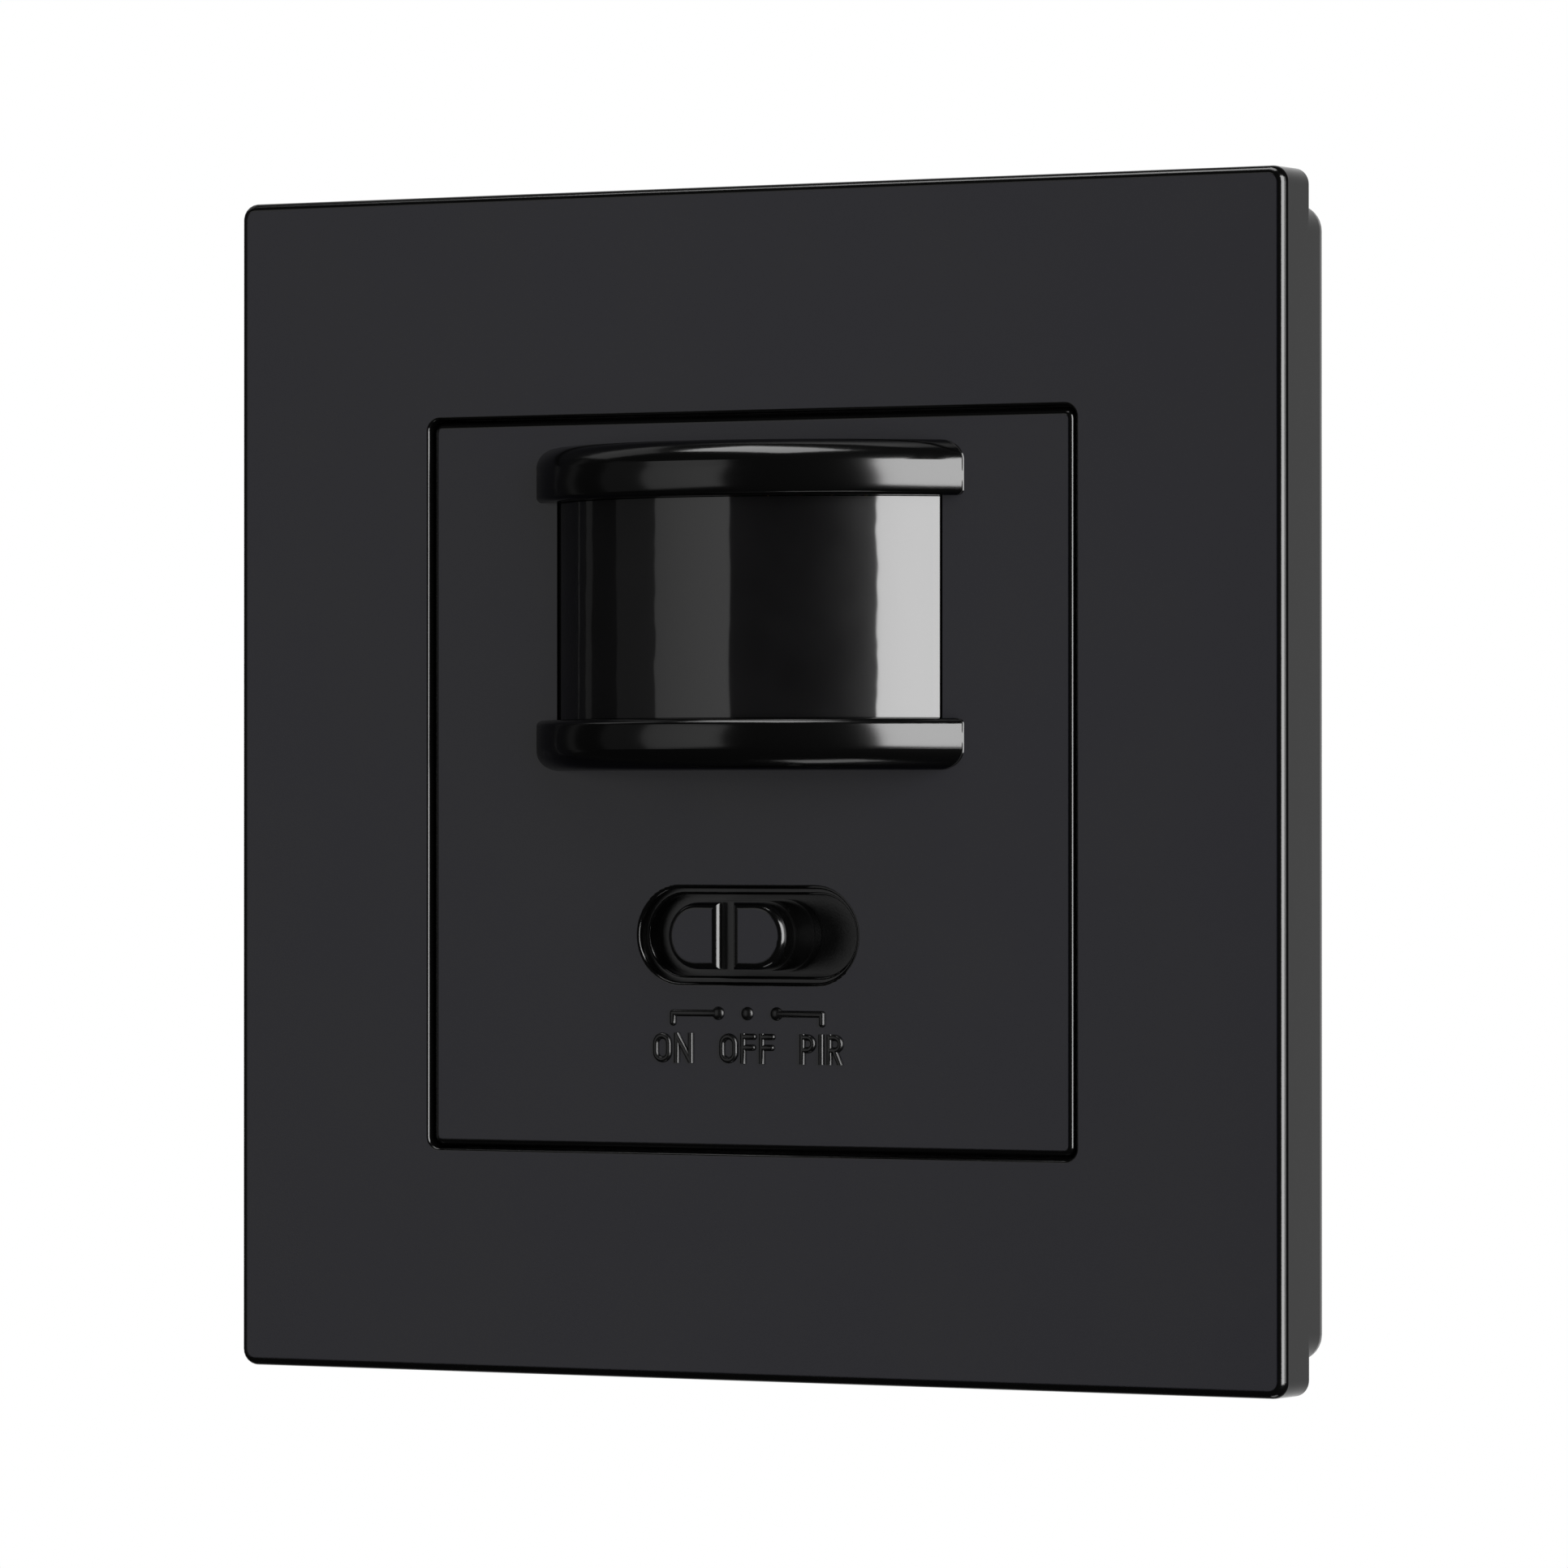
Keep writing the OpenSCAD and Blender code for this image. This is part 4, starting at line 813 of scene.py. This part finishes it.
class SENSORSWITCH_OT_lens(bpy.types.Operator):
    """Finish the lens and its retainer"""

    bl_idname = "sensorswitch.lens"
    bl_label = "Finish lens"

    def execute(self, context):
        colours = context.scene.sensor_switch_colours
        wear(polished_lens("lens_skin", colours.lens), "pir_lens")
        wear(moulded_plastic("retainer_plastic", colours.housing), "lens_retainer")
        return {"FINISHED"}


class SENSORSWITCH_OT_housing(bpy.types.Operator):
    """Finish the rear housing and its terminals"""

    bl_idname = "sensorswitch.housing"
    bl_label = "Finish housing"

    def execute(self, context):
        colours = context.scene.sensor_switch_colours
        matt = moulded_plastic("matt_housing", colours.housing, 0.55, 0.59, 0.3 * MM)
        wear(matt, "rear_housing")
        wear(moulded_plastic("terminal_case", colours.terminal), "terminal_block")
        wear(plated_metal("bare_brass", colours.brass), "terminal_clamps")
        return {"FINISHED"}


class SENSORSWITCH_OT_boards(bpy.types.Operator):
    """Finish the boards and the parts on them"""

    bl_idname = "sensorswitch.boards"
    bl_label = "Finish boards"

    def execute(self, context):
        colours = context.scene.sensor_switch_colours
        mask = solder_mask("solder_mask", colours.board, colours.copper)
        zinc = plated_metal("zinc_plate", colours.zinc)
        gold = plated_metal("gold_plate", colours.gold, 0.16, 0.3)
        white = moulded_plastic("white_plastic", colours.white)
        blue = moulded_plastic("blue_plastic", colours.blue, 0.25, 0.4)
        epoxy = moulded_plastic("black_epoxy", colours.epoxy, 0.45, 0.6)
        sleeve = moulded_plastic("shrink_sleeve", colours.sleeve, 0.2, 0.3)
        wear(mask, "sensor_board", "power_board")
        wear(zinc, "terminal_screws", "pyro_can", "switch_can")
        wear(gold, "pyro_base", "link_pins")
        wear(clear_resin("filter_glass", colours.window), "pyro_window")
        wear(clear_resin("sensor_resin", colours.resin), "light_sensor")
        wear(white, "switch_actuator", "time_rotor", "lux_rotor")
        wear(blue, "time_trimmer", "lux_trimmer", "varistor")
        wear(moulded_plastic("brown_laminate", colours.laminate), "switch_base")
        wear(epoxy, "control_chip", "link_header", "rectifier_diodes")
        wear(moulded_plastic("relay_case", colours.relay, 0.2, 0.35), "relay")
        wear(moulded_plastic("capacitor_case", colours.film, 0.2, 0.35), "film_capacitor")
        wear(sleeve, "electrolytic_capacitor")
        wear(moulded_plastic("fuse_case", colours.fuse), "fuse")
        return {"FINISHED"}


class SENSORSWITCH_OT_marks(bpy.types.Operator):
    """Make the raised marks of the three slide positions"""

    bl_idname = "sensorswitch.marks"
    bl_label = "Make position marks"

    def execute(self, context):
        sizes = context.scene.sensor_switch_marks
        plate_front = FRAME_FRONT + context.scene.sensor_switch_casing.plate_recess
        plastic = polished_plastic("mark_plastic", context.scene.sensor_switch_colours.polish)
        tree = bead_tree()
        letters = []
        for word, x in (("ON", -sizes.word_x), ("OFF", 0.0), ("PIR", sizes.word_x)):
            letters += word_strokes(word, x, -sizes.word_drop, sizes)
        lines = [stroke for side in (-1, 1) for stroke in bracket_strokes(side, sizes)]
        wide, deep = 4 * sizes.reach, 2 * MM
        dot_h = 1.1 * sizes.line_w
        out = deep / 2 - sizes.sunk
        words_middle = (0.0, -sizes.word_drop - sizes.letter_h / 2, out)
        parts = [
            tree.applied(
                stroke_curve("letters", letters), Width=sizes.stroke, Dots=0, Material=plastic,
                Box=(wide, sizes.letter_h, deep), Middle=words_middle,
            ),
            tree.applied(
                stroke_curve("lines", lines), Width=sizes.line_w, Dots=3, Material=plastic,
                First=(-SLIDE_TRAVEL, 0.0, 0.0), Pitch=(SLIDE_TRAVEL, 0.0, 0.0),
                Dot=(sizes.dot_d, sizes.dot_d, dot_h), Box=(wide, wide, deep),
                Middle=(0.0, 0.0, out),
            ),
        ]
        place = Vector((0, plate_front, KNOB_MIDDLE.z - sizes.row_drop))
        for name, mesh in zip(("position_words", "position_lines"), parts):
            mesh.transform(Matrix.Translation(place) @ UPRIGHT)
            piece(name, softened(mesh), plastic, "root")
        return {"FINISHED"}


class SENSORSWITCH_OT_screws(bpy.types.Operator):
    """Make the small screws of the housing and the boards"""

    bl_idname = "sensorswitch.screws"
    bl_label = "Make screws"

    def execute(self, context):
        sizes = context.scene.sensor_switch_screws
        steel = plated_metal("screw_steel", context.scene.sensor_switch_colours.steel)
        tree = screw_tree()
        up, room = Vector((0, 0, 1)), 10 * MM
        bar = (sizes.cross_w, sizes.cross_l, 2 * sizes.cross_d)
        for node, head_d, shank_d in (
            ("housing_screws", sizes.housing_head, sizes.housing_shank),
            ("sensor_board_screws", sizes.board_head, sizes.board_shank),
            ("power_board_screws", sizes.board_head, sizes.board_shank),
        ):
            low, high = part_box(node)
            seat = low.y + sizes.head_h
            long = high.y - seat
            points = bpy.data.meshes.new("screw_points")
            points.from_pydata([(x, z, 0.0) for x, z in head_middles(node, head_d)], [], [])
            made = bpy.data.objects.new("screw_points", points)
            context.scene.collection.objects.link(made)
            mesh = tree.applied(
                made, Head=(head_d / 2, head_d / 2, sizes.head_h), Room=(room, room, room),
                Below=-up * room / 2, Cross=bar, Across=(bar[1], bar[0], bar[2]),
                Top=up * sizes.head_h, Core=shank_d / 2 - sizes.thread, Length=long,
                Sunk=-up * long / 2, Turns=(long - sizes.pitch) / sizes.pitch,
                Thread=sizes.thread, Tip=-up * long, Seed=sizes.seed, Material=steel,
            )
            mesh.transform(Matrix.Translation((0, seat, 0)) @ UPRIGHT)
            screws = piece(f"{node}_turned", softened(mesh), steel, "root")
            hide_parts(node)
        return {"FINISHED"}


# Soft panels: the azimuth to the right of the front and the height in degrees, the distance, width
# and height in metres, the setting of the brightness, and the slope of it across the panel
PANELS = {
    "key_softbox": ((61, 9), 0.95, (0.62, 1.0), "key", 0.0),
    "key_wing": ((90, 9), 0.95, (0.36, 0.8), "wing", 0.0),
    "side_panel": ((-33.2, 4), 1.2, (0.743, 1.0), "side", 0.24),
    "fill_panel": ((-61.2, 4), 1.2, (0.458, 1.0), "fill", 0.0),
    "edge_panel": ((-92, 4), 1.2, (0.11, 1.0), "fill", 0.0),
    "left_panel": ((-100, 42), 1.2, (0.8, 0.5), "left", 0.0),
    "top_panel": ((-35, 72), 1.0, (0.7, 0.4), "top", 0.0),
}
# Direction of the backdrop's middle, and how far a direction points to it at the backdrop's edge
# and at its full brightness
BACKDROP_SIDE = (-0.3, 0.954, 0.0)
BACKDROP_SPAN = (0.45, 0.98)
FLOOR_SHADES = ((0.80, 0.80, 0.80), (0.84, 0.84, 0.84))
WHITE = (1.0, 1.0, 1.0, 1.0)


class SENSORSWITCH_OT_stage(bpy.types.Operator):
    """Set the floor, the lights and the camera"""

    bl_idname = "sensorswitch.stage"
    bl_label = "Set stage"

    def execute(self, context):
        stage = context.scene.sensor_switch_stage
        context.scene.view_settings.view_transform = "Standard"
        make_camera(context.scene, stage)
        make_floor(stage)
        make_world(context.scene, stage)
        for name, (direction, distance, size, setting, slope) in PANELS.items():
            panel(name, direction, distance, size, getattr(stage, setting), slope)
        return {"FINISHED"}


def make_camera(scene, stage):
    data = bpy.data.cameras.new("camera")
    data.sensor_width = 36.0
    data.lens = stage.camera_lens
    data.clip_start, data.clip_end = 0.01, 20.0
    camera = bpy.data.objects.new("camera", data)
    camera.location = stage.camera_at
    camera.rotation_euler = (math.radians(90) + stage.camera_tilt, 0.0, stage.camera_turn)
    scene.collection.objects.link(camera)
    scene.camera = camera


def panel(name, direction, distance, size, brightness, slope):
    """Soft panel that faces the switch.

    A slope makes the panel brighter by that share toward one side and darker toward the other.
    """
    light = bpy.data.lights.new(name, "AREA")
    light.shape = "RECTANGLE"
    light.size, light.size_y = size
    light.energy = brightness * math.pi * size[0] * size[1]
    azimuth, height = (math.radians(d) for d in direction)
    flat = math.cos(height)
    out = Vector((math.sin(azimuth) * flat, -math.cos(azimuth) * flat, math.sin(height)))
    if slope:
        light.use_nodes = True
        nodes, links = light.node_tree.nodes, light.node_tree.links
        across = nodes.new("ShaderNodeSeparateXYZ")
        place = nodes.new("ShaderNodeNewGeometry").outputs["Parametric"]
        links.new(place, across.inputs["Vector"])
        span = (0.0, 1.0, 1 - slope, 1 + slope)
        strength = graded(nodes, links, across.outputs["X"], span, "LINEAR")
        links.new(strength, nodes["Emission"].inputs["Strength"])
    made = bpy.data.objects.new(name, light)
    made.location = out * distance
    made.rotation_euler = out.to_track_quat("Z", "Y").to_euler()
    made.visible_camera = False
    bpy.context.scene.collection.objects.link(made)


def ray_kinds(nodes, links, *kinds):
    """1 for rays of these kinds, else 0."""
    path = nodes.new("ShaderNodeLightPath")
    shown = path.outputs[f"Is {kinds[0]} Ray"]
    for kind in kinds[1:]:
        either = nodes.new("ShaderNodeMath")
        either.operation = "MAXIMUM"
        links.new(shown, either.inputs[0])
        links.new(path.outputs[f"Is {kind} Ray"], either.inputs[1])
        shown = either.outputs["Value"]
    return shown


def make_floor(stage):
    half = stage.floor_w / 2
    z = CAD_BOX[0].z - stage.floor_drop
    corners = [(-half, -half, z), (half, -half, z), (half, half, z), (-half, half, z)]
    mesh = bpy.data.meshes.new("floor")
    mesh.from_pydata(corners, [], [(0, 1, 2, 3)])
    floor = bpy.data.objects.new("floor", mesh)
    bpy.context.scene.collection.objects.link(floor)
    finish = Finish("pale_floor", roughness=0.9)
    finish.colours(finish.noise(40 * MM, 2), *FLOOR_SHADES)
    shown = ray_kinds(finish.nodes, finish.links, "Camera", "Glossy", "Transmission")
    lift = finish.mapped(shown, 0.0, 1.0, 0.0, stage.floor_lift)
    finish.set("Emission Color", WHITE)
    finish.links.new(lift, finish.shader.inputs["Emission Strength"])
    mesh.materials.append(finish.material)


def make_world(scene, stage):
    """White to the camera and through glass; gloss shows a backdrop behind and a dim room."""
    world = bpy.data.worlds.new("studio")
    world.use_nodes = True
    nodes, links = world.node_tree.nodes, world.node_tree.links
    nodes.clear()
    toward = nodes.new("ShaderNodeVectorMath")
    toward.operation = "DOT_PRODUCT"
    toward.inputs[1].default_value = BACKDROP_SIDE
    links.new(nodes.new("ShaderNodeTexCoord").outputs["Generated"], toward.inputs[0])
    around, backdrop, white = (nodes.new("ShaderNodeBackground") for _ in range(3))
    for background in (around, backdrop, white):
        background.inputs["Color"].default_value = WHITE
        background.inputs["Strength"].default_value = 1.0
    for background, span in (
        (around, (0.0, 1.0, stage.shade, stage.behind)),
        (backdrop, (*BACKDROP_SPAN, stage.room, stage.backdrop)),
    ):
        strength = graded(nodes, links, toward.outputs["Value"], span)
        links.new(strength, background.inputs["Strength"])
    lit = around.outputs["Background"]
    for kinds, seen in ((("Glossy",), backdrop), (("Camera", "Transmission"), white)):
        either = nodes.new("ShaderNodeMixShader")
        links.new(ray_kinds(nodes, links, *kinds), either.inputs["Fac"])
        links.new(lit, either.inputs[1])
        links.new(seen.outputs["Background"], either.inputs[2])
        lit = either.outputs["Shader"]
    output = nodes.new("ShaderNodeOutputWorld")
    links.new(lit, output.inputs["Surface"])
    scene.world = world


OPERATORS = (
    SENSORSWITCH_OT_casing,
    SENSORSWITCH_OT_lens,
    SENSORSWITCH_OT_housing,
    SENSORSWITCH_OT_boards,
    SENSORSWITCH_OT_marks,
    SENSORSWITCH_OT_screws,
    SENSORSWITCH_OT_stage,
)


class SENSORSWITCH_PT_panel(bpy.types.Panel):
    """Lists the steps that dress the switch"""

    bl_label = "Sensor Switch"
    bl_space_type = "VIEW_3D"
    bl_region_type = "UI"
    bl_category = "Sensor Switch"

    def draw(self, context):
        for operator in OPERATORS:
            self.layout.operator(operator.bl_idname)


GROUPS = {
    "sensor_switch_casing": CasingSizes,
    "sensor_switch_marks": MarkSizes,
    "sensor_switch_screws": ScrewSizes,
    "sensor_switch_colours": FinishColours,
    "sensor_switch_stage": StageSettings,
}


def register():
    for group in GROUPS.values():
        bpy.utils.register_class(group)
    for name, group in GROUPS.items():
        setattr(bpy.types.Scene, name, PointerProperty(type=group))
    for operator in OPERATORS:
        bpy.utils.register_class(operator)
    bpy.utils.register_class(SENSORSWITCH_PT_panel)


def unregister():
    bpy.utils.unregister_class(SENSORSWITCH_PT_panel)
    for operator in reversed(OPERATORS):
        bpy.utils.unregister_class(operator)
    for name, group in GROUPS.items():
        delattr(bpy.types.Scene, name)
        bpy.utils.unregister_class(group)


def main():
    register()
    bpy.ops.sensorswitch.casing()
    bpy.ops.sensorswitch.lens()
    bpy.ops.sensorswitch.housing()
    bpy.ops.sensorswitch.boards()
    bpy.ops.sensorswitch.marks()
    bpy.ops.sensorswitch.screws()
    bpy.ops.sensorswitch.stage()


if __name__ == "__main__":
    main()
